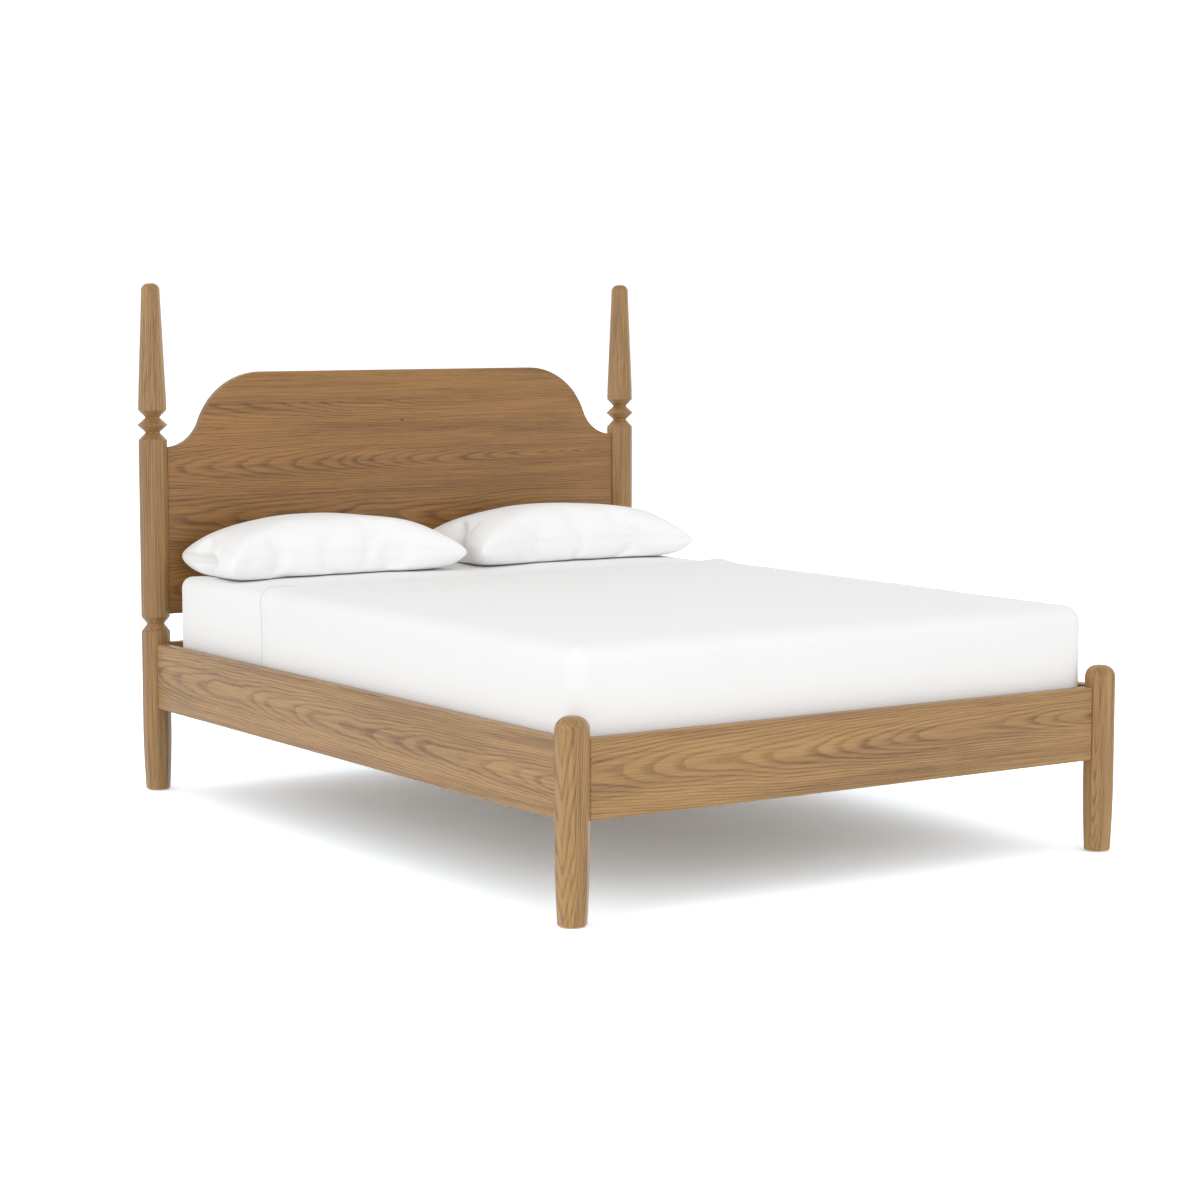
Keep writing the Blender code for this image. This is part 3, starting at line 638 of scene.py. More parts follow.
@dataclass(frozen=True)
class PaleFloor:
    """The plain pale floor, which isn't part of the bed.

    Attributes:
        name: The finish's name.
        pale: How much light it gives back. Over 1, the lit floor shows as plain white.
        glow: The light of its own that keeps a shadow from going black.
    """

    name: str = "pale floor"
    pale: Point = (1.58, 1.67, 1.76)
    glow: float = 0.06

    def make(self) -> bpy.types.Material:
        """Paints the finish.

        Returns:
            Its material.
        """
        paint = Paint(self.name)
        x, y, _ = paint.place()
        tone = paint.noise(x * 0.7, y * 0.7, 0.0, 2.0)
        pale = paint.mix(tone, tuple(c * 0.99 for c in self.pale), self.pale)
        paint.set(Specular_IOR_Level=0.0, Emission_Color=(1.0, 1.0, 1.0), Emission_Strength=self.glow)
        paint.set(Base_Color=pale, Roughness=1.0)
        return paint.material


# ---------------------------------------------------------------- what repeats or follows a path


class Rule(Nodes):
    """A Geometry Nodes tree with named sizes."""

    def __init__(self, name: str, sizes: dict[str, float]) -> None:
        """Starts the tree with its inputs.

        Args:
            name: The tree's name.
            sizes: The named inputs and their values.
        """
        self.sizes = sizes
        self.tree = bpy.data.node_groups.new(name, "GeometryNodeTree")
        sockets = self.tree.interface
        sockets.new_socket("Geometry", in_out="INPUT", socket_type="NodeSocketGeometry")
        for label in sizes:
            sockets.new_socket(label, in_out="INPUT", socket_type="NodeSocketFloat")
        sockets.new_socket("Geometry", in_out="OUTPUT", socket_type="NodeSocketGeometry")
        self.start = self.tree.nodes.new("NodeGroupInput")
        self.end = self.tree.nodes.new("NodeGroupOutput")

    def size(self, label: str) -> Wire:
        """Returns a named input."""
        return Wire(self.tree, self.start.outputs[label])

    def given(self) -> Wire:
        """Returns the geometry that the tree is given."""
        return Wire(self.tree, self.start.outputs["Geometry"])

    def close(self, shape: Wire, material: bpy.types.Material, smooth: bool = True) -> None:
        """Ends the tree: real geometry in one material.

        Args:
            shape: The geometry.
            material: Its finish.
            smooth: Whether its shading is smooth.
        """
        real = self.node("GeometryNodeRealizeInstances", values={"Geometry": shape})
        if smooth:
            real = self.node("GeometryNodeSetShadeSmooth", values={"Geometry": real})
        values = {"Geometry": real, "Material": material}
        dressed = self.node("GeometryNodeSetMaterial", values=values)
        self.tree.links.new(dressed.socket, self.end.inputs[0])

    def mesh(self, name: str, source: bpy.types.Mesh, material: bpy.types.Material) -> bpy.types.Object:
        """Runs the tree on a mesh of points or paths.

        Args:
            name: The new piece's name.
            source: The points or paths.
            material: The piece's finish.

        Returns:
            The piece, as a plain mesh.
        """
        carrier = bpy.data.objects.new(name, source)
        bpy.context.scene.collection.objects.link(carrier)
        modifier = carrier.modifiers.new(self.tree.name, "NODES")
        modifier.node_group = self.tree
        for item in self.tree.interface.items_tree:
            if item.item_type == "SOCKET" and item.in_out == "INPUT" and item.name in self.sizes:
                modifier[item.identifier] = self.sizes[item.name]
        settle(carrier)
        carrier.data.materials.clear()
        carrier.data.materials.append(material)
        return carrier


class ScrewRule(Rule):
    """Countersunk cross-recess screw heads, each on a point and facing its aim."""

    def __init__(self, radius: float, material: bpy.types.Material) -> None:
        """Builds the tree.

        Args:
            radius: Of the head.
            material: Its finish.
        """
        super().__init__("Screw heads", {"Head radius": radius, "Head height": radius * 0.30})
        size = self.size("Head radius")
        tall = self.size("Head height")
        head = {"Vertices": 14, "Radius Top": size * 0.80, "Radius Bottom": size, "Depth": tall}
        blank = self.node("GeometryNodeMeshCone", values=head)
        bars = []
        for wide, long in ((size * 0.26, size * 1.15), (size * 1.15, size * 0.26)):
            bar = self.node("GeometryNodeMeshCube", values={"Size": self.point(wide, long, tall * 1.4)})
            values = {"Geometry": bar, "Translation": self.point(0.0, 0.0, tall * 1.1)}
            bars.append(self.node("GeometryNodeTransform", values=values))
        values = {"Mesh 1": blank, "Mesh 2": bars}
        cut = self.node("GeometryNodeMeshBoolean", {"operation": "DIFFERENCE"}, values)
        aim = self.node("GeometryNodeInputNamedAttribute", {"data_type": "FLOAT_VECTOR"}, {"Name": "aim"})
        turn = self.node("FunctionNodeAlignRotationToVector", {"axis": "Z"}, {"Vector": aim})
        values = {"Points": self.given(), "Instance": cut, "Rotation": turn}
        self.close(self.node("GeometryNodeInstanceOnPoints", values=values), material, smooth=False)


class StitchRule(Rule):
    """Short stitches laid end to end along a path."""

    def __init__(self, pitch: float, thick: float, material: bpy.types.Material) -> None:
        """Builds the tree.

        Args:
            pitch: From stitch to stitch.
            thick: The thread's radius.
            material: Its finish.
        """
        super().__init__("Stitches", {"Pitch": pitch, "Thread radius": thick})
        line = self.node("GeometryNodeMeshToCurve", values={"Mesh": self.given()})
        values = {"Curve": line, "Length": self.size("Pitch")}
        spots = self.node("GeometryNodeResampleCurve", {"mode": "LENGTH"}, values)
        values = {"Vertices": 6, "Radius": self.size("Thread radius"), "Depth": self.size("Pitch") * 0.68}
        stitch = self.node("GeometryNodeMeshCylinder", values=values)
        along = self.node("GeometryNodeInputTangent")
        turn = self.node("FunctionNodeAlignRotationToVector", {"axis": "Z"}, {"Vector": along})
        values = {"Points": spots, "Instance": stitch, "Rotation": turn}
        self.close(self.node("GeometryNodeInstanceOnPoints", values=values), material)


class CordingRule(Rule):
    """A round cord swept along a path, such as piping or a staple's wire."""

    def __init__(self, radius: float, material: bpy.types.Material) -> None:
        """Builds the tree.

        Args:
            radius: Of the cord.
            material: Its finish.
        """
        super().__init__("Cording", {"Radius": radius})
        line = self.node("GeometryNodeMeshToCurve", values={"Mesh": self.given()})
        values = {"Resolution": 8, "Radius": self.size("Radius")}
        ring = self.node("GeometryNodeCurvePrimitiveCircle", values=values)
        values = {"Curve": line, "Profile Curve": ring, "Fill Caps": True}
        self.close(self.node("GeometryNodeCurveToMesh", values=values), material)


def points_mesh(name: str, spots: Sequence[tuple[Point, Point]]) -> bpy.types.Mesh:
    """A mesh of loose points, each with the way that it aims.

    Args:
        name: The mesh's name.
        spots: (place, aim) pairs.

    Returns:
        The mesh.
    """
    mesh = bpy.data.meshes.new(name)
    mesh.from_pydata([place for place, _ in spots], [], [])
    aims = mesh.attributes.new("aim", "FLOAT_VECTOR", "POINT")
    aims.data.foreach_set("vector", [number for _, aim in spots for number in aim])
    return mesh


def paths_mesh(name: str, paths: Iterable[Sequence[Point]], closed: bool = False) -> bpy.types.Mesh:
    """A mesh of edges only, one chain for each path.

    Args:
        name: The mesh's name.
        paths: The paths' points.
        closed: Whether each path ends where it starts.

    Returns:
        The mesh.
    """
    verts: list[Point] = []
    edges: list[tuple[int, int]] = []
    for path in paths:
        first = len(verts)
        verts.extend(tuple(p) for p in path)
        edges.extend((i, i + 1) for i in range(first, len(verts) - 1))
        if closed:
            edges.append((len(verts) - 1, first))
    mesh = bpy.data.meshes.new(name)
    mesh.from_pydata(verts, edges, [])
    return mesh


# ---------------------------------------------------------------- meshes


def settle(obj: bpy.types.Object) -> None:
    """Turns an object's modifiers into plain mesh.

    Args:
        obj: The object.
    """
    graph = bpy.context.evaluated_depsgraph_get()
    graph.update()
    finished = obj.evaluated_get(graph)
    mesh = bpy.data.meshes.new_from_object(finished, preserve_all_data_layers=True, depsgraph=graph)
    obj.modifiers.clear()
    obj.data = mesh


def link(name: str, mesh: bpy.types.Mesh, material: bpy.types.Material) -> bpy.types.Object:
    """Puts a mesh in the scene as a piece at the origin.

    Args:
        name: The piece's name.
        mesh: Its mesh.
        material: Its finish.

    Returns:
        The piece.
    """
    obj = bpy.data.objects.new(name, mesh)
    obj.data.materials.append(material)
    bpy.context.scene.collection.objects.link(obj)
    return obj


def piece_of(name: str, bm: bmesh.types.BMesh, material: bpy.types.Material) -> bpy.types.Object:
    """Makes a piece of a closed bmesh, with its faces turned outwards.

    Args:
        name: The piece's name.
        bm: The shape, which is used up.
        material: Its finish.

    Returns:
        The piece.
    """
    bmesh.ops.remove_doubles(bm, verts=bm.verts, dist=1e-7)
    bmesh.ops.recalc_face_normals(bm, faces=bm.faces)
    mesh = bpy.data.meshes.new(name)
    bm.to_mesh(mesh)
    bm.free()
    return link(name, mesh, material)


def loft(rings: Sequence[Sequence[Point]]) -> bmesh.types.BMesh:
    """Makes a closed shape through rings of equally many points, with flat ends.

    Args:
        rings: The rings, from one end to the other.

    Returns:
        The shape.
    """
    bm = bmesh.new()
    loops = [[bm.verts.new(p) for p in ring] for ring in rings]
    for lower, upper in zip(loops, loops[1:]):
        for i in range(len(lower)):
            j = (i + 1) % len(lower)
            bm.faces.new((lower[i], lower[j], upper[j], upper[i]))
    bm.faces.new(list(reversed(loops[0])))
    bm.faces.new(loops[-1])
    return bm


def block(one: Sequence[float], other: Sequence[float]) -> bmesh.types.BMesh:
    """Makes a box between two opposite corners, given in either order.

    Args:
        one: A corner.
        other: The opposite corner.

    Returns:
        The box.
    """
    bm = bmesh.new()
    bmesh.ops.create_cube(bm, size=1.0)
    lowest, highest = Vector(map(min, one, other)), Vector(map(max, one, other))
    bmesh.ops.scale(bm, vec=highest - lowest, verts=bm.verts)
    bmesh.ops.translate(bm, vec=(highest + lowest) / 2, verts=bm.verts)
    return bm


def rounded(obj: bpy.types.Object, radius: float, segments: int = 4) -> None:
    """Rounds a piece's sharp edges.

    Args:
        obj: The piece.
        radius: Of each edge.
        segments: Steps round the edge.
    """
    bevel = obj.modifiers.new("Rounded edges", "BEVEL")
    bevel.width = radius
    bevel.segments = segments
    bevel.limit_method = "ANGLE"
    bevel.angle_limit = math.radians(40)


class Joinery(enum.Enum):
    """What a block does to the board that it meets."""

    TENON = "UNION"
    MORTISE = "DIFFERENCE"


def carve(obj: bpy.types.Object, kind: Joinery, one: Sequence[float], other: Sequence[float]) -> None:
    """Adds a block to a piece as a tenon, or cuts it away as a mortise.

    Args:
        obj: The piece.
        kind: Which of the two.
        one: A corner of the block.
        other: The opposite corner.
    """
    helper = piece_of("helper", block(one, other), obj.data.materials[0])
    change = obj.modifiers.new(kind.name, "BOOLEAN")
    change.operation = kind.value
    change.solver = "EXACT"
    change.object = helper
    settle(obj)
    bpy.data.objects.remove(helper)


def polish(obj: bpy.types.Object, angle: float = 35.0) -> None:
    """Gives a piece smooth shading that keeps its flats flat.

    Args:
        obj: The piece.
        angle: Edges sharper than this many degrees stay sharp.
    """
    obj.data.shade_smooth()
    obj.data.set_sharp_from_angle(angle=math.radians(angle))
    weighted = obj.modifiers.new("Flat flats", "WEIGHTED_NORMAL")
    weighted.keep_sharp = True
    weighted.weight = TIE_WEIGHT
    settle(obj)


def join_bed(obj: bpy.types.Object, body: str, slot: str, *nodes: str) -> None:
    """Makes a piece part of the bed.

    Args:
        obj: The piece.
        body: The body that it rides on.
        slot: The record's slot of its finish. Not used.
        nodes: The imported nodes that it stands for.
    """
    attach(obj, body)
    if nodes:
        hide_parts(*nodes)
    LOG.info("%-26s on %-22s %6d faces", obj.name, body, len(obj.data.polygons))


def dress(finish: object, *nodes: str) -> bpy.types.Material:
    """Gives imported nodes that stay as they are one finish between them.

    Args:
        finish: The finish.
        nodes: The nodes' names.

    Returns:
        The finish's material.
    """
    made = finish.make()
    for node in nodes:
        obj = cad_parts[node]
        obj.data.materials.clear()
        obj.data.materials.append(made)
        LOG.info("%-26s dressed in %s", node, finish.name)
    return made


SIDES = {"left": -1, "right": 1}
ENDS = {"foot": -1, "head": 1}
PAST_FACE = 0.003
"""How far a mortise's block starts outside the face that it goes into."""
INTO_BOARD = 0.010
"""How far a tenon's block reaches into its own board."""


# ---------------------------------------------------------------- the oak frame


@dataclass(frozen=True)
class Sawn:
    """How a post was sawn.

    Attributes:
        heart: The log's middle, from the post's axis.
        tilt: How far that middle moves over a metre of grain.
        tone: Lightness of its oak.
    """

    heart: Flat
    tilt: Flat
    tone: float


POST_WOOD = {
    ("foot", "left"): Sawn((0.052, 0.010), (0.055, 0.01), 1.0),
    ("foot", "right"): Sawn((-0.050, -0.030), (0.05, 0.0), 1.02),
    ("head", "left"): Sawn((0.090, -0.060), (0.02, 0.02), 0.97),
    ("head", "right"): Sawn((-0.100, 0.070), (-0.02, 0.01), 0.92),
}


@dataclass
class Posts:
    """The four posts: soft-edged octagons, tapered at the foot and waisted at the head."""

    half: float = 0.0381
    edge: float = 0.0055
    foot_half: float = 0.0326
    taper_top: float = 0.165
    toe: float = 0.0020
    glide: float = 0.0033
    low_top: float = 0.476
    low_dome: float = 0.030
    lower_waist: tuple[float, float, float] = (0.4775, 0.0238, 0.0208)
    upper_waist: tuple[float, float, float] = (1.0226, 0.0200, 0.0213)
    waist_flat: float = 0.0016
    bead_half: float = 0.0405
    tip_half: float = 0.0252
    tip_z: float = 1.408
    high_top: float = 1.443
    high_dome: float = 0.020
    arris: float = 0.0012
    edge_steps: int = 5
    mortise: tuple[float, float, float, float] = (0.0150, 0.0310, 0.2583, 0.4016)
    panel_mortise: tuple[float, float, float, float] = (0.0130, 0.0170, 0.5335, 0.9505)
    plate_recess: tuple[float, float, float] = (0.0170, 0.1250, 0.0035)
    hook_pocket: tuple[float, float, float] = (0.0090, 0.1120, 0.0150)
    rail_middle: float = 0.32995
    ring_width: float = 0.0046
    spire_end: Flat = (0.0002, 0.004)

    def section(self, half: float, z: float, x: float, y: float) -> list[Point]:
        """Lays out a ring: eight flats whose corners are rounded.

        Args:
            half: Half the width across the flats.
            z: The ring's height.
            x: The post's axis.
            y: The post's axis.

        Returns:
            The ring's points.
        """
        corner = half * math.tan(math.pi / 8)
        edge = min(self.edge, corner * 0.6)
        points = []
        for k in range(8):
            turn = Matrix.Rotation(k * math.pi / 4, 2)
            after = Matrix.Rotation((k + 1) * math.pi / 4, 2)
            start = turn @ Vector((half, corner - edge))
            peak = turn @ Vector((half, corner))
            end = after @ Vector((half, -(corner - edge)))
            for i in range(self.edge_steps):
                t = i / (self.edge_steps - 1)
                p = start * (1 - t) ** 2 + peak * 2 * t * (1 - t) + end * t * t
                points.append((x + p.x, y + p.y, z))
        return points

    def leg(self) -> list[Flat]:
        """Works out the tapered foot's profile.

        Returns:
            (half width, height) points from the floor up.
        """
        points = [(self.foot_half - self.toe, self.glide), (self.foot_half, self.glide + self.toe)]
        for i in range(1, 13):
            t = i / 12
            ease = min(t + 0.16 * math.sin(math.pi * t), 1.0)
            width = self.foot_half + (self.half - self.foot_half) * ease
            points.append((width, self.glide + self.toe + (self.taper_top - self.toe) * t))
        return points

    def dome(self, half: float, top: float, radius: float) -> list[Flat]:
        """Returns a quarter round that ends in a small flat."""
        turns = [math.pi / 2 * i / 10 for i in range(11)]
        return [(half - radius * (1 - math.cos(a)), top - radius * (1 - math.sin(a))) for a in turns]

    def waist(self, below: float, above: float, shape: tuple[float, float, float]) -> list[Flat]:
        """Returns two cones that run into a narrow band."""
        z, half, cone = shape
        band = self.waist_flat / 2
        return [(below, z - cone), (half, z - band), (half, z + band), (above, z + cone)]

    def profile(self, high: bool) -> list[Flat]:
        """Returns a post's whole profile, its arrises softened.

        Args:
            high: Whether it is a head post.

        Returns:
            (half width, height) points from the floor up.
        """
        if not high:
            return self.leg() + self.dome(self.half, self.low_top, self.low_dome)
        z, half, cone = self.upper_waist
        lower = self.waist(self.half, self.half, self.lower_waist)
        under = self.waist(self.half, self.bead_half, self.upper_waist)
        over = self.waist(self.bead_half, self.half, (z + 2 * cone, half, cone))
        spire = (self.tip_half + self.spire_end[0], self.tip_z - self.spire_end[1])
        tip = self.dome(self.tip_half, self.high_top, self.high_dome)[1:]
        return self.leg() + self.softened(lower + under + over[1:]) + [spire] + tip

    def softened(self, points: list[Flat]) -> list[Flat]:
        """Turns a profile's corners into short curves.

        Args:
            points: The profile.

        Returns:
            The softened profile.
        """
        soft = [points[0]]
        for before, here, after in zip(points, points[1:], points[2:]):
            p, a, b = Vector(here), Vector(before), Vector(after)
            back, on = a - p, b - p
            reach = min(self.arris, back.length * 0.4, on.length * 0.4)
            start = p + back.normalized() * reach
            end = p + on.normalized() * reach
            for t in (0.0, 0.5, 1.0):
                q = start * (1 - t) ** 2 + p * 2 * t * (1 - t) + end * t * t
                soft.append((q.x, q.y))
        return soft + [points[-1]]

    def build(self) -> None:
        """Makes the four posts."""
        for end_name, end in ENDS.items():
            for side_name, side in SIDES.items():
                name = f"{end_name}post_{side_name}"
                low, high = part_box(name)
                x, y = (low.x + high.x) / 2, (low.y + high.y) / 2
                wood = POST_WOOD[end_name, side_name]
                board = Board((x + wood.heart[0], y + wood.heart[1]), wood.tilt, self.ring_width)
                oak = Oak(f"oak {name}", Grain.UPRIGHT, (board,), 3.1 * side + 1.7 * end, wood.tone)
                rings = [self.section(half, z, x, y) for half, z in self.profile(end > 0)]
                obj = piece_of(f"{name}_turned", loft(rings), oak.make())
                self.cut(obj, x, y, side, end)
                polish(obj, 30.0)
                join_bed(obj, FRAME_BODY, oak.slot, name)

    def cut(self, obj: bpy.types.Object, x: float, y: float, side: int, end: int) -> None:
        """Cuts a post's mortises and its hook plate's recess.

        Args:
            obj: The post.
            x: Its axis.
            y: Its axis.
            side: -1 left, 1 right.
            end: -1 foot, 1 head.
        """
        slots = [self.mortise] + ([self.panel_mortise] if end > 0 else [])
        for wide, deep, low, high in slots:
            face = x - side * self.half
            outer = (face - side * PAST_FACE, y - wide / 2, low)
            carve(obj, Joinery.MORTISE, outer, (face + side * deep, y + wide / 2, high))
        for wide, tall, deep in (self.plate_recess, self.hook_pocket):
            face = y - end * self.half
            outer = (x - wide / 2, face - end * PAST_FACE, self.rail_middle - tall / 2)
            inner = (x + wide / 2, face + end * deep, self.rail_middle + tall / 2)
            carve(obj, Joinery.MORTISE, outer, inner)


@dataclass
class Rails:
    """The two cross rails with their tenons and the two side rails with their recesses."""

    radius: float = 0.0042
    tenon: tuple[float, float, float] = (0.014, 0.030, 0.022)
    shoulder: float = 0.7616
    side_half: float = 1.0461
    plate: tuple[float, float, float] = (0.017, 0.125, 0.0033)

    def build(self) -> None:
        """Makes the four rails."""
        for name, end in ENDS.items():
            self.cross_rail(f"{name}_rail", end)
        for name, side in SIDES.items():
            self.side_rail(f"side_rail_{name}", side)

    def board(self, node: str, oak: Oak, one: Sequence[float], other: Sequence[float]) -> bpy.types.Object:
        """Makes a plain board with rounded edges.

        Args:
            node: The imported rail.
            oak: Its finish.
            one: A corner.
            other: The opposite corner.

        Returns:
            The board.
        """
        obj = piece_of(f"{node}_board", block(one, other), oak.make())
        rounded(obj, self.radius)
        settle(obj)
        return obj

    def cross_rail(self, node: str, end: int) -> None:
        """Makes the head or foot rail, with its tenons.

        Args:
            node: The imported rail.
            end: -1 foot, 1 head.
        """
        low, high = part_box(node)
        middle = (low.y + high.y) / 2
        thick, long, step = self.tenon
        sawn = Board((middle + 0.075 * end, 0.345), (0.045, 0.012), 0.0048)
        oak = Oak(f"oak {node}", Grain.ACROSS_BED, (sawn,), 11.0 + end, 1.0)
        obj = self.board(node, oak, (-self.shoulder, low.y, low.z), (self.shoulder, high.y, high.z))
        for side in SIDES.values():
            root = (side * (self.shoulder - INTO_BOARD), middle - thick / 2, low.z + step)
            tip = (side * (self.shoulder + long), middle + thick / 2, high.z - step)
            carve(obj, Joinery.TENON, root, tip)
        polish(obj)
        join_bed(obj, FRAME_BODY, oak.slot, node)

    def side_rail(self, node: str, side: int) -> None:
        """Makes a side rail, with the recesses for its hook plates.

        Args:
            node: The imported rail.
            side: -1 left, 1 right.
        """
        low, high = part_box(node)
        middle = (low + high) / 2
        wide, tall, deep = self.plate
        sawn = Board((middle.x - side * 0.060, 0.330), (0.030, 0.014), 0.0046)
        oak = Oak(f"oak {node}", Grain.ALONG_BED, (sawn,), 23.0 + side, 1.0)
        obj = self.board(node, oak, low, high)
        for end in ENDS.values():
            inner = (middle.x - wide / 2, end * (self.side_half - deep), middle.z - tall / 2)
            outer = (middle.x + wide / 2, end * (self.side_half + PAST_FACE), middle.z + tall / 2)
            carve(obj, Joinery.MORTISE, inner, outer)
        polish(obj)
        join_bed(obj, FRAME_BODY, oak.slot, node)


@dataclass
class Headboard:
    """The arched panel, glued up from five boards and tenoned into the head posts."""

    thick: float = 0.027
    bottom: float = 0.504
    shoulder_z: float = 0.980
    top: float = 1.1903
    hollow: float = 0.110
    crown: float = 0.2134
    run: float = 0.0020
    half: float = 0.7616
    radius: float = 0.0032
    tenon: tuple[float, float, float] = (0.012, 0.016, 0.030)
    step: float = math.radians(2.5)

    def arc(self, centre: Flat, radius: float, start: float, end: float) -> list[Flat]:
        """Returns points along an arc, both ends included."""
        count = max(2, round(abs(end - start) / self.step))
        turns = [start + (end - start) * i / count for i in range(count + 1)]
        return [(centre[0] + radius * math.cos(a), centre[1] + radius * math.sin(a)) for a in turns]

    def outline(self) -> list[Flat]:
        """Works out the panel's outline: straight ends and base, and the arched top.

        Returns:
            The outline's (x, z) points.
        """
        both = self.crown + self.hollow
        turn = math.acos(1 - (self.top - self.shoulder_z) / both)
        hollow_x = self.half - self.run
        crown_x = hollow_x - both * math.sin(turn)
        up = math.pi / 2
        right = self.arc((crown_x, self.top - self.crown), self.crown, up, up - turn)
        right += self.arc((hollow_x, self.shoulder_z + self.hollow), self.hollow, -up - turn, -up)[1:-1]
        right += [(self.half, self.shoulder_z), (self.half, self.bottom)]
        return right + [(-x, z) for x, z in reversed(right)]

    def build(self) -> None:
        """Makes the panel."""
        low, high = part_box("headboard_panel")
        middle = (low.y + high.y) / 2
        front, back = middle - self.thick / 2, middle + self.thick / 2
        boards = (
            Board((middle - 0.070, 0.590), (0.05, 0.02), 0.0050),
            Board((middle + 0.085, 0.760), (-0.03, -0.030), 0.0048, 0.680),
            Board((middle - 0.055, 0.925), (0.060, 0.006), 0.0046, 0.842),
            Board((middle - 0.120, 1.140), (0.050, 0.060), 0.0040, 1.005),
            Board((middle - 0.160, 1.420), (0.01, 0.015), 0.0036, 1.100),
        )
        # The tone of 0.80 makes the panel's oak darker as painted shade, for the shade it stands in at the
        # back of the bed.
        oak = Oak("oak headboard", Grain.ACROSS_BED, boards, 5.0, 0.80, knot=(0.005, 1.040), warmth=0.80)
        outline = self.outline()
        faces = [[(x, y, z) for x, z in outline] for y in (front, back)]
        obj = piece_of("headboard_arch", loft(faces), oak.make())
        rounded(obj, self.radius)
        settle(obj)
        thick, long, step = self.tenon
        for side in SIDES.values():
            root = (side * (self.half - INTO_BOARD), middle - thick / 2, self.bottom + step)
            tip = (side * (self.half + long), middle + thick / 2, self.shoulder_z - step)
            carve(obj, Joinery.TENON, root, tip)
        polish(obj)
        join_bed(obj, FRAME_BODY, oak.slot, "headboard_panel")


# ---------------------------------------------------------------- the slatted base


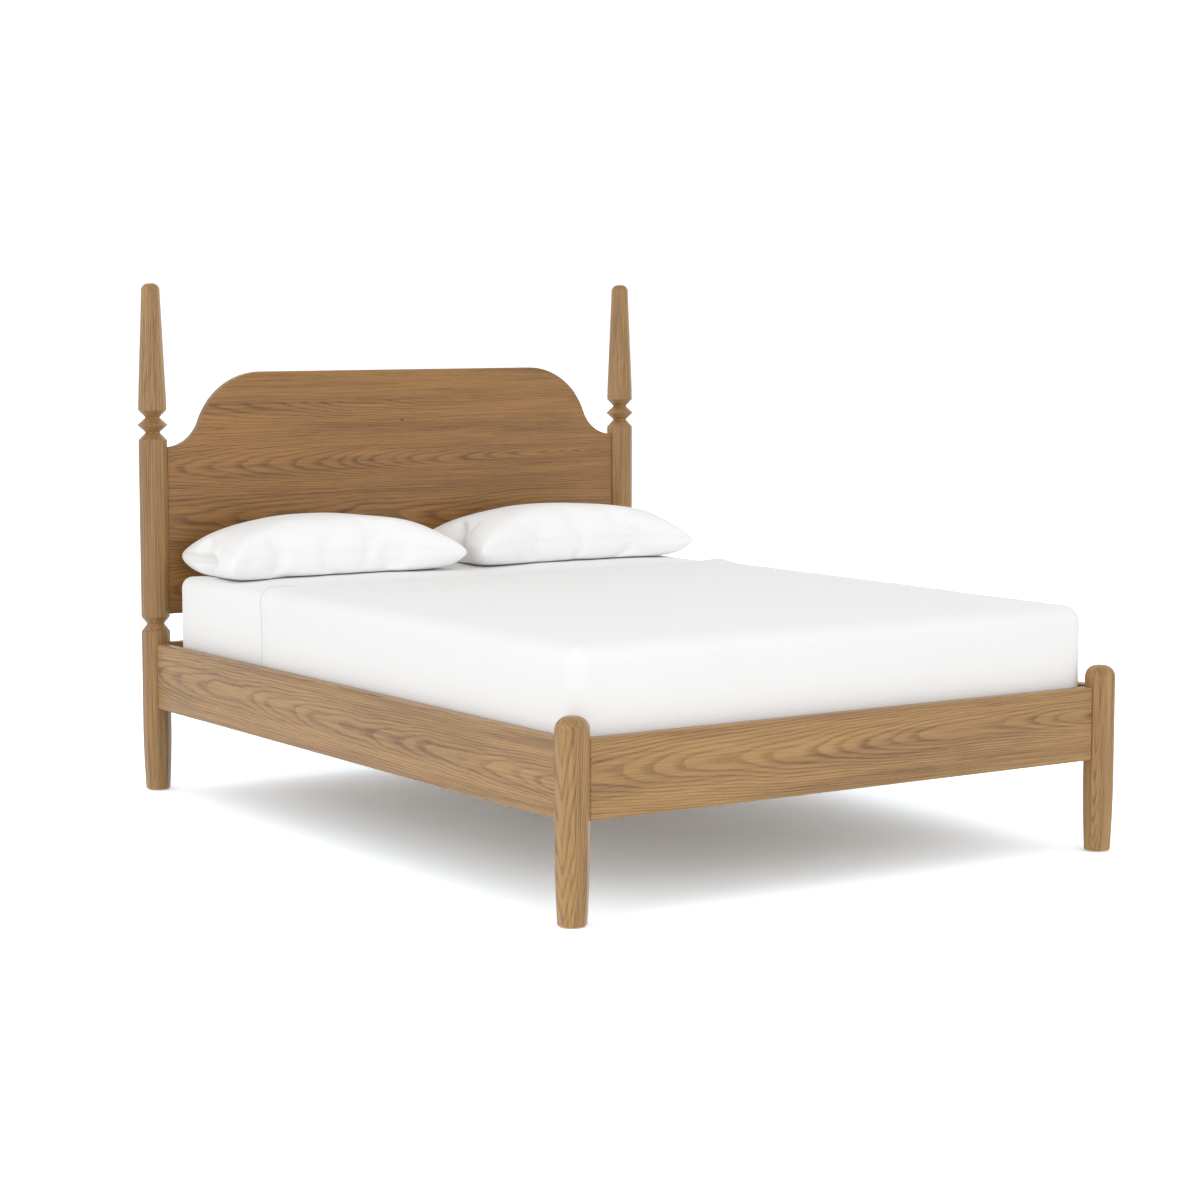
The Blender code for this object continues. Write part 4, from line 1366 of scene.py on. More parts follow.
@dataclass
class SlatBase:
    """Slats, ledges, beam, leg and their straps, screws and staples."""

    strap_half: float = 0.0125
    strap_thick: float = 0.0012
    strap_sag: float = 0.0022
    staple_wide: float = 0.0042
    staple_wire: float = 0.00045
    staple_leg: float = 0.0016
    staple_places: Flat = (0.3, 0.7)
    edge_band: float = 0.8
    thin_edge: Flat = (0.0003, 0.0002)
    lies_in: float = 0.0001
    screw: float = 0.0042
    ledge_screws: int = 8
    slat_screw_in: float = 0.018
    hanger_thick: float = 0.0025
    hanger_screws: Flat = (0.0335, 0.014)

    def build(self) -> None:
        """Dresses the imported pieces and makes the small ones."""
        slats = sorted(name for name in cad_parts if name.startswith("slat_") and name[5:].isdigit())
        for i, name in enumerate(slats):
            dress(Pine(f"pine {name}", Grain.ACROSS_BED, 1.9 * i), name)
        for side_name in SIDES:
            dress(Pine(f"pine ledge {side_name}", Grain.ALONG_BED, 31.0), f"slat_ledge_{side_name}")
        dress(Pine("pine beam", Grain.ALONG_BED, 47.0), "centre_beam")
        sawn = Board((0.050, 0.030), (0.03, 0.0), 0.0042)
        dress(Oak("oak centre leg", Grain.UPRIGHT, (sawn,), 61.0, 0.96), "centre_leg")
        names = list(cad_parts)
        steel = ZincSteel()
        plated = [name for name in names if "hook_plate" in name or "hanger" in name]
        made = dress(steel, *plated, "leg_insert", "levelling_stud")
        dress(Nylon(), *(name for name in names if name.startswith("glide_")), "levelling_pad")
        self.straps(slats)
        self.screws(steel, made)

    def straps(self, slats: list[str]) -> None:
        """Makes the two webbing straps and their staples.

        Args:
            slats: The slats' names in order.
        """
        finish = Webbing()
        made = finish.make()
        wires: list[list[Point]] = []
        for side_name in SIDES:
            node = f"slat_strap_{side_name}"
            low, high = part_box(node)
            x = (low.x + high.x) / 2
            runs: list[Flat] = []
            for first, second in zip(slats, slats[1:] + [None]):
                a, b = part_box(first)
                runs += [(a.y + 0.0005, high.z), ((a.y + b.y) / 2, high.z), (b.y - 0.0005, high.z)]
                if second:
                    c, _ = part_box(second)
                    runs.append(((b.y + c.y) / 2, high.z - self.strap_sag))
                ys = (a.y + (b.y - a.y) * place for place in self.staple_places)
                wires += [self.staple(x, y, low.z - self.staple_wire * 0.4) for y in ys]
            obj = piece_of(f"{node}_web", loft([self.strap_ring(x, y, z) for y, z in runs]), made)
            ys = [y for y, _ in runs]
            steps = [0.0] + [math.dist(one, other) for one, other in zip(runs, runs[1:])]
            uv = list(itertools.accumulate(steps))
            cloth_map(obj, lambda p: (p.x - x, float(np.interp(p.y, ys, uv))))
            polish(obj, 50.0)
            join_bed(obj, FRAME_BODY, finish.slot, node)
        steel = ZincSteel(name="zinc plated wire")
        wire = steel.make()
        rule = CordingRule(self.staple_wire, wire)
        staples = rule.mesh("strap_staples", paths_mesh("staples", wires), wire)
        join_bed(staples, FRAME_BODY, steel.slot)

    def staple(self, x: float, y: float, z: float) -> list[Point]:
        """Returns a staple's wire, its crown down and its two legs up into the slat."""
        wide, leg = self.staple_wide, z + self.staple_leg
        return [(x - wide, y, leg), (x - wide, y, z), (x + wide, y, z), (x + wide, y, leg)]

    def strap_ring(self, x: float, y: float, z: float) -> list[Point]:
        """Lays out the strap's section, a little thinner at its two edges.

        Args:
            x: The strap's middle.
            y: Where the section is.
            z: The strap's upper face there.

        Returns:
            The section's points.
        """
        upper_in, lower_in = self.thin_edge
        places = (-1.0, -self.edge_band, 0.0, self.edge_band, 1.0)
        over = [(at, z - (self.lies_in if abs(at) < 1 else upper_in)) for at in places]
        under = [(at, z - self.strap_thick + (0.0 if abs(at) < 1 else lower_in)) for at in reversed(places)]
        return [(x + at * self.strap_half, y, height) for at, height in over + under]

    def screws(self, steel: ZincSteel, made: bpy.types.Material) -> None:
        """Makes the screw heads of the ledges, hangers and end slats.

        Args:
            steel: Their finish.
            made: Its material.
        """
        spots: list[tuple[Point, Point]] = []
        for side_name, side in SIDES.items():
            low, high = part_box(f"slat_ledge_{side_name}")
            inner = low.x if side > 0 else high.x
            for i in range(self.ledge_screws):
                y = low.y + (high.y - low.y) * (i + 0.5) / self.ledge_screws
                spots.append(((inner, y, (low.z + high.z) / 2), (-side, 0.0, 0.0)))
            for name in ("slat_01", "slat_14"):
                a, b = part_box(name)
                spots.append(((side * (b.x - self.slat_screw_in), (a.y + b.y) / 2, b.z), (0.0, 0.0, 1.0)))
        for end_name, end in ENDS.items():
            low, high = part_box(f"beam_hanger_{end_name}")
            face = high.y - self.hanger_thick if end > 0 else low.y + self.hanger_thick
            across, down = self.hanger_screws
            for x in (-across, across):
                for z in (low.z + down, high.z - down):
                    spots.append(((x, face, z), (0.0, -end, 0.0)))
        heads = ScrewRule(self.screw, made).mesh("screw_heads", points_mesh("screws", spots), made)
        join_bed(heads, FRAME_BODY, steel.slot)


# ---------------------------------------------------------------- mattress and bedding


def cloth_map(obj: bpy.types.Object, place: Callable[[Vector], Flat]) -> None:
    """Gives a piece its cloth map, in metres.

    Args:
        obj: The piece.
        place: Takes a point to its place on the flat cloth.
    """
    layer = obj.data.uv_layers.new(name="cloth")
    flats = [place(vert.co) for vert in obj.data.vertices]
    for loop in obj.data.loops:
        layer.data[loop.index].uv = flats[loop.vertex_index]


@dataclass(frozen=True)
class Crease:
    """One soft ridge with a shallow trough at each side."""

    start: Point
    end: Point
    wide: float
    high: float

    def lift(self, places: np.ndarray) -> np.ndarray:
        """Works out how far the crease lifts each place.

        Args:
            places: The places.

        Returns:
            One lift for each place.
        """
        a, b = np.array(self.start), np.array(self.end)
        run = b - a
        t = np.clip((places - a) @ run / (run @ run), 0.0, 1.0)
        off = np.linalg.norm(places - (a + t[:, None] * run), axis=1)
        taper = np.sqrt(np.clip(4.0 * t * (1.0 - t), 0.0, 1.0))
        ridge = np.exp(-((off / self.wide) ** 2))
        trough = np.exp(-(((off - 1.9 * self.wide) / self.wide) ** 2))
        return self.high * taper * (ridge - 0.45 * trough)


@dataclass
class Wrap:
    """A cloth that lies over the mattress and falls down its sides, with rounded corners."""

    half_x: float
    foot_y: float
    head_y: float
    top: float
    bottom: float
    edge: float
    corner: float
    round_head: bool
    cell: float
    arc_steps: int = 8
    corner_steps: int = 4

    def lines(self, low: float, high: float, round_low: bool, round_high: bool) -> list[float]:
        """Spaces grid lines, closer together where a corner is rounded.

        Args:
            low: The first line.
            high: The last line.
            round_low: Whether the corners at the first line are rounded.
            round_high: Whether those at the last line are.

        Returns:
            The lines' places.
        """
        zone = self.corner - self.edge
        ends = [zone * i / self.corner_steps for i in range(self.corner_steps)]
        start = low + (zone if round_low else 0.0)
        stop = high - (zone if round_high else 0.0)
        count = max(2, round((stop - start) / self.cell))
        middle = [start + (stop - start) * i / count for i in range(count + 1)]
        first = [low + e for e in ends] if round_low else []
        last = [high - e for e in reversed(ends)] if round_high else []
        return first + middle + last

    def on_top(self, x: float, y: float) -> tuple[Vector, Optional[Vector]]:
        """Moves a grid point into the rounded corner.

        Args:
            x: The grid point.
            y: The grid point.

        Returns:
            The place, and the corner's centre if the point is in one.
        """
        zone = self.corner - self.edge
        flat_x = self.half_x - self.edge
        low_y = self.foot_y + self.edge
        high_y = self.head_y - (self.edge if self.round_head else 0.0)
        px = (abs(x) - (flat_x - zone)) / zone
        py = ((low_y + zone) - y) / zone
        sign = -1.0
        centre_y = low_y + zone
        if self.round_head and py <= 0.0:
            py = (y - (high_y - zone)) / zone
            sign = 1.0
            centre_y = high_y - zone
        if px <= 1e-9 or py <= 1e-9:
            return Vector((x, y)), None
        centre = Vector((math.copysign(flat_x - zone, x), centre_y))
        moved = Vector((px * math.sqrt(1 - py * py / 2), py * math.sqrt(1 - px * px / 2)))
        place = centre + Vector((math.copysign(moved.x * zone, x), sign * moved.y * zone))
        return place, centre

    def build(self, name: str, material: bpy.types.Material,
              relief: Callable[[np.ndarray, np.ndarray], np.ndarray], thick: float) -> bpy.types.Object:
        """Makes the cloth.

        Args:
            name: The piece's name.
            material: Its finish.
            relief: How far each place (with its flat place) stands off along its normal.
            thick: The cloth's thickness, inwards.

        Returns:
            The cloth, closed all round.
        """
        flat_x = self.half_x - self.edge
        xs = self.lines(-flat_x, flat_x, True, True)
        high_y = self.head_y - (self.edge if self.round_head else 0.0)
        ys = self.lines(self.foot_y + self.edge, high_y, True, self.round_head)
        verts: list[Point] = []
        flats: list[Flat] = []
        centres: dict[int, Optional[Vector]] = {}
        for y in ys:
            for x in xs:
                place, centre = self.on_top(x, y)
                centres[len(verts)] = centre
                verts.append((place.x, place.y, self.top))
                flats.append((x, y))
        wide = len(xs)
        faces = [(j * wide + i, j * wide + i + 1, (j + 1) * wide + i + 1, (j + 1) * wide + i)
                 for j in range(len(ys) - 1) for i in range(wide - 1)]
        rim = [j * wide for j in range(len(ys) - 1, 0, -1)]
        rim += list(range(wide))
        rim += [j * wide + wide - 1 for j in range(1, len(ys))]
        if self.round_head:
            rim += [(len(ys) - 1) * wide + i for i in range(wide - 2, 0, -1)]
        drops = [(self.edge * math.sin(a), self.edge * (1 - math.cos(a)), self.edge * a)
                 for a in (math.pi / 2 * k / self.arc_steps for k in range(1, self.arc_steps + 1))]
        side = self.top - self.edge - self.bottom
        count = max(2, round(side / self.cell))
        quarter = self.edge * math.pi / 2
        falls = [side * k / count for k in range(1, count + 1)]
        drops += [(self.edge, self.edge + fall, quarter + fall) for fall in falls]
        last_row = rim
        for out, fall, run in drops:
            row = []
            for index in rim:
                x, y, _ = verts[index]
                away = self.away(index, wide, len(ys), Vector((x, y)), centres[index])
                row.append(len(verts))
                verts.append((x + away.x * out, y + away.y * out, self.top - fall))
                flats.append((flats[index][0] + away.x * run, flats[index][1] + away.y * run))
            pairs = len(rim) if self.round_head else len(rim) - 1
            for k in range(pairs):
                m = (k + 1) % len(rim)
                faces.append((last_row[k], row[k], row[m], last_row[m]))
            last_row = row
        mesh = bpy.data.meshes.new(name)
        mesh.from_pydata(verts, [], faces)
        mesh.update()
        obj = link(name, mesh, material)
        places = np.array(verts)
        normals = np.zeros(len(verts) * 3)
        mesh.vertex_normals.foreach_get("vector", normals)
        moved = places + normals.reshape(-1, 3) * relief(places, np.array(flats))[:, None]
        mesh.vertices.foreach_set("co", moved.ravel())
        layer = mesh.uv_layers.new(name="cloth")
        for loop in mesh.loops:
            layer.data[loop.index].uv = flats[loop.vertex_index]
        solid = obj.modifiers.new("Cloth thickness", "SOLIDIFY")
        solid.thickness = thick
        solid.offset = -1.0
        settle(obj)
        obj.data.shade_smooth()
        return obj

    def away(self, index: int, wide: int, tall: int, place: Vector, centre: Optional[Vector]) -> Vector:
        """Finds the level direction out of the mattress at a rim point.

        Args:
            index: The rim point.
            wide: Grid points across.
            tall: Grid points along. Not used.
            place: Where the point is.
            centre: Its rounded corner's centre, if it is in one.

        Returns:
            The direction.
        """
        if centre is not None:
            return (place - centre).normalized()
        column, row = index % wide, index // wide
        if column in (0, wide - 1):
            return Vector((-1.0 if column == 0 else 1.0, 0.0))
        return Vector((0.0, -1.0 if row == 0 else 1.0))

    def flat_size(self) -> Flat:
        """Works out what the cloth is cut to.

        Returns:
            Its (width, length).
        """
        fall = self.edge * math.pi / 2 + (self.top - self.edge - self.bottom)
        width = 2 * (self.half_x - self.edge + fall)
        length = self.head_y - self.foot_y - self.edge + fall
        return width, length + (fall - self.edge if self.round_head else 0.0)


def ripple(places: np.ndarray, scale: Point, seed: float) -> np.ndarray:
    """Returns smooth noise from -1 to 1 at each place."""
    spots = places * np.array(scale) + seed
    return np.array([noise.noise(Vector(spot)) for spot in spots])


@dataclass
class Mattress:
    """The mattress: a block with rounded edges and a taped seam round its lower edge."""

    corner: float = 0.034
    edge: float = 0.028
    tape: float = 0.0042
    ring_steps: int = 14
    edge_steps: int = 8

    def ring(self, half_x: float, half_y: float, corner: float, middle: float, z: float) -> list[Point]:
        """Lays out a level rectangle with rounded corners.

        Args:
            half_x: Half its width.
            half_y: Half its length.
            corner: Its corners' radius.
            middle: Its middle, along the bed.
            z: Its height.

        Returns:
            The ring's points.
        """
        points = []
        for k, (sx, sy) in enumerate(((1, 1), (-1, 1), (-1, -1), (1, -1))):
            for i in range(self.ring_steps + 1):
                a = math.pi / 2 * (k + i / self.ring_steps)
                px = sx * (half_x - corner) + corner * math.cos(a)
                py = sy * (half_y - corner) + corner * math.sin(a)
                points.append((px, middle + py, z))
        return points

    def build(self) -> None:
        """Makes the mattress."""
        low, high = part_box("mattress")
        half_x, half_y = (high.x - low.x) / 2, (high.y - low.y) / 2
        middle = (high.y + low.y) / 2
        levels = []
        for i in range(self.edge_steps + 1):
            a = math.pi / 2 * i / self.edge_steps
            levels.append((self.edge * (1 - math.sin(a)), low.z + self.edge * (1 - math.cos(a))))
        levels += [(inset, high.z - (z - low.z)) for inset, z in reversed(levels)]
        rings = [self.ring(half_x - i, half_y - i, self.corner - i, middle, z) for i, z in levels]
        finish = Ticking()
        obj = piece_of("mattress_block", loft(rings), finish.make())
        polish(obj, 50.0)
        join_bed(obj, MATTRESS_BODY, finish.slot, "mattress")
        thread = Thread("mattress tape", (0.62, 0.60, 0.56), finish.slot)
        made = thread.make()
        lift = self.edge * 0.42
        inset = self.edge * (1 - math.sin(math.acos(1 - lift / self.edge))) - self.tape * 0.2
        path = self.ring(half_x - inset, half_y - inset, self.corner - inset, middle, low.z + lift)
        tape = CordingRule(self.tape, made).mesh("mattress_tape", paths_mesh("tape", [path], True), made)
        join_bed(tape, MATTRESS_BODY, finish.slot)


@dataclass
class Sheets:
    """The fitted sheet and the top cover over it.

    Attributes:
        fitted_thick: The fitted sheet's thickness.
        cover_thick: The cover's thickness, which is two layers.
        fitted_edge: Radius of the fitted sheet's edge.
        fitted_corner: Radius of its corners, from above.
        cover_edge: Radius of the cover's edge.
        cover_corner: Radius of its corners, from above.
        edge_drop: How far the cover's head edge rolls down on top.
        corner_lift: How far that edge stands off where it turns down the side.
        crown: How far the top falls towards its edges.
        most_lift: The most that any crease may stand proud.
        hem_from_edge: From the cover's head edge to its hem.
        stitch: The hem's stitch length.
        thread: The hem's thread radius.
    """

    fitted_thick: float = 0.0016
    cover_thick: float = 0.0042
    fitted_edge: float = 0.031
    fitted_corner: float = 0.037
    cover_edge: float = 0.042
    cover_corner: float = 0.048
    edge_drop: float = 0.0052
    corner_lift: float = 0.0030
    crown: float = 0.005
    most_lift: float = 0.0026
    hem_from_edge: float = 0.022
    stitch: float = 0.0042
    thread: float = 0.00042

    def wrap(self, node: str, edge: float, corner: float, round_head: bool, cell: float) -> Wrap:
        """Returns the shape of a sheet that fills its solid's box."""
        low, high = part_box(node)
        return Wrap(high.x, low.y, high.y, high.z, low.z, edge, corner, round_head, cell)

    @staticmethod
    def near_corner(heights: np.ndarray, shape: Wrap) -> np.ndarray:
        """Returns 1 over a sheet's rounded edge, falling to 0 down its side."""
        return np.clip((heights - (shape.top - shape.edge - 0.035)) / 0.03, 0.0, 1.0)

    def falling(self, places: np.ndarray, shape: Wrap, reach: float) -> np.ndarray:
        """Works out how near each place on top is to the sides and ends.

        Args:
            places: The places.
            shape: The sheet's shape.
            reach: How far in the edges are felt.

        Returns:
            1 at an edge, 0 well inside, for each place.
        """
        inset = shape.half_x - np.abs(places[:, 0])
        inset = np.minimum(inset, places[:, 1] - shape.foot_y)
        if shape.round_head:
            inset = np.minimum(inset, shape.head_y - places[:, 1])
        on_top = np.clip((places[:, 2] - (shape.top - shape.edge)) / shape.edge, 0.0, 1.0)
        return np.exp(-((np.clip(inset, 0.0, None) / reach) ** 2)) * on_top

    def fitted(self) -> None:
        """Makes the fitted sheet, pulled taut."""
        cotton = Cotton("fitted sheet cotton")
        shape = self.wrap("fitted_sheet", self.fitted_edge, self.fitted_corner, True, 0.014)
        draw = random.Random(11)
        creases = []
        for side in SIDES.values():
            for _ in range(10):
                y = draw.uniform(0.5, shape.head_y - 0.06)
                x = side * (shape.half_x - 0.002)
                z = shape.top - draw.uniform(0.05, 0.16)
                creases.append(Crease((x, y, z), (x, y + draw.uniform(-0.05, 0.05), z - 0.09), 0.007, 0.0008))

        def relief(places: np.ndarray, flats: np.ndarray) -> np.ndarray:
            """Returns the sheet's own small unevenness."""
            off = ripple(places, (4.0, 7.0, 6.0), 2.0) * 0.0004
            low_edge = -0.0008 * self.falling(places, shape, 0.10)
            return off + low_edge + sum(crease.lift(places) for crease in creases) * 0.6 - 0.0004

        obj = shape.build("fitted_sheet_cloth", cotton.make(), relief, self.fitted_thick)
        join_bed(obj, MATTRESS_BODY, cotton.slot, "fitted_sheet")
        shape.flat_size()

    def creases(self, shape: Wrap) -> list[Crease]:
        """Draws the cover's creases: short pulls over its edges and slack at its corners.

        Args:
            shape: The cover's shape.

        Returns:
            The creases.
        """
        draw = random.Random(29)
        found = []
        x_edge = shape.half_x - shape.edge * 0.45
        for side in SIDES.values():
            for _ in range(34):
                y = draw.uniform(shape.foot_y + 0.10, shape.head_y - 0.04)
                run = draw.uniform(0.03, 0.11)
                start = (side * (x_edge + 0.012), y, shape.top - 0.014)
                end = (side * (x_edge - run), y + draw.uniform(-0.07, 0.07), shape.top)
                found.append(Crease(start, end, draw.uniform(0.005, 0.010), draw.uniform(0.0006, 0.0020)))
            for _ in range(18):
                y = draw.uniform(shape.foot_y + 0.08, shape.head_y - 0.05)
                z = shape.top - draw.uniform(0.03, 0.09)
                x = side * shape.half_x
                end = (x, y + draw.uniform(-0.03, 0.03), z - draw.uniform(0.05, 0.13))
                found.append(Crease((x, y, z), end, draw.uniform(0.008, 0.016), draw.uniform(0.0006, 0.0016)))
        y_edge = shape.foot_y + shape.edge * 0.45
        for _ in range(30):
            x = draw.uniform(-shape.half_x + 0.10, shape.half_x - 0.10)
            start = (x, y_edge - 0.012, shape.top - 0.014)
            end = (x + draw.uniform(-0.06, 0.06), y_edge + draw.uniform(0.03, 0.12), shape.top)
            found.append(Crease(start, end, draw.uniform(0.005, 0.010), draw.uniform(0.0006, 0.0019)))
        for side in SIDES.values():
            for k in range(5):
                turn = math.pi / 2 * (0.12 + 0.19 * k)
                cx = side * (shape.half_x - shape.corner)
                cy = shape.foot_y + shape.corner
                way = Vector((side * math.cos(turn), -math.sin(turn), 0.0))
                a = Vector((cx, cy, shape.top - 0.05)) + way * shape.corner
                b = Vector((cx, cy, shape.top - 0.19)) + way * (shape.corner + 0.004)
                found.append(Crease(tuple(a), tuple(b), 0.008, 0.0030))
        return found

    def cover(self) -> None:
        """Makes the top cover, which falls down the foot and both sides and ends before the pillows."""
        cotton = Cotton("top cover cotton", pitch=0.0007, white=(0.905, 0.905, 0.903))
        shape = self.wrap("top_cover", self.cover_edge, self.cover_corner, False, 0.0105)
        creases = self.creases(shape)

        def relief(places: np.ndarray, flats: np.ndarray) -> np.ndarray:
            """Adds up the cover's unevenness, its creases and the lip along its edge.

            Args:
                places: The cloth's places.
                flats: The same on the flat cloth. Not used.

            Returns:
                How far each place stands off.
            """
            on_top = np.clip((places[:, 2] - (shape.top - 0.02)) / 0.02, 0.0, 1.0)
            broad = ripple(places, (2.3, 2.9, 4.0), 5.0) * 0.0014 * on_top
            small = ripple(places, (9.0, 6.0, 8.0), 9.0) * 0.0006
            fine = ripple(places, (26.0, 14.0, 24.0), 13.0) * 0.0003
            side_wave = ripple(places, (5.0, 7.0, 1.2), 21.0) * 0.0009 * (1.0 - on_top)
            from_edge = np.clip(shape.head_y - places[:, 1], 0.0, None)
            flat_part = 1.0 - np.clip((np.abs(places[:, 0]) - 0.60) / 0.08, 0.0, 1.0)
            lip = -self.edge_drop * np.exp(-((from_edge / 0.012) ** 2)) * on_top * flat_part
            hem = -0.0007 * np.exp(-(((shape.head_y - self.hem_from_edge - places[:, 1]) / 0.003) ** 2))
            corner_part = np.clip((np.abs(places[:, 0]) - 0.66) / 0.06, 0.0, 1.0)
            corner_part = corner_part * self.near_corner(places[:, 2], shape)
            lip = lip + self.corner_lift * np.exp(-((from_edge / 0.045) ** 2)) * corner_part
            low_edge = -self.crown * self.falling(places, shape, 0.09) * np.clip(from_edge / 0.10, 0.0, 1.0)
            folds = sum(crease.lift(places) for crease in creases) * (0.45 + 0.55 * on_top)
            rest = np.minimum(broad + small + fine + side_wave + hem + low_edge + folds, self.most_lift)
            return rest + lip

        obj = shape.build("top_cover_cloth", cotton.make(), relief, self.cover_thick)
        join_bed(obj, MATTRESS_BODY, cotton.slot, "top_cover")
        thread = Thread("cover thread", (0.84, 0.84, 0.83), cotton.slot)
        made = thread.make()
        path = self.hem_path(obj, shape)
        rule = StitchRule(self.stitch, self.thread, made)
        hem = rule.mesh("top_cover_hem_stitches", paths_mesh("hem", [path]), made)
        join_bed(hem, MATTRESS_BODY, thread.slot)
        shape.flat_size()

    def hem_path(self, cover: bpy.types.Object, shape: Wrap) -> list[Point]:
        """Returns the hem's seam, laid on the cover's own surface.

        Args:
            cover: The cover.
            shape: Its shape.

        Returns:
            The seam's points from side to side.
        """
        y = shape.head_y - self.hem_from_edge
        flat_x = shape.half_x - shape.edge
        quarter = shape.edge * math.pi / 2
        side = shape.top - shape.edge - shape.bottom - 0.01
        off, reach, count = 0.02, 0.05, 260
        path = []
        for i in range(count):
            run = (-1.0 + 2.0 * i / (count - 1)) * (flat_x + quarter + side)
            over = abs(run) - flat_x
            sign = math.copysign(1.0, run)
            if over <= 0:
                place, aim = (run, y, shape.top + off), (0.0, 0.0, -1.0)
            elif over <= quarter:
                a = over / shape.edge
                out = (sign * math.sin(a), 0.0, math.cos(a))
                far = shape.edge + off
                place = (sign * flat_x + out[0] * far, y, shape.top - shape.edge + out[2] * far)
                aim = (-out[0], 0.0, -out[2])
            else:
                z = shape.top - shape.edge - (over - quarter)
                place, aim = (sign * (shape.half_x + off), y, z), (-sign, 0.0, 0.0)
            hit, spot, normal, _ = cover.ray_cast(place, aim, distance=reach)
            if hit:
                path.append(tuple(spot + normal * 0.0002))
        return path


PANEL_STEP = 0.6
"""How far apart a pillow's two panels lie on its cloth map."""


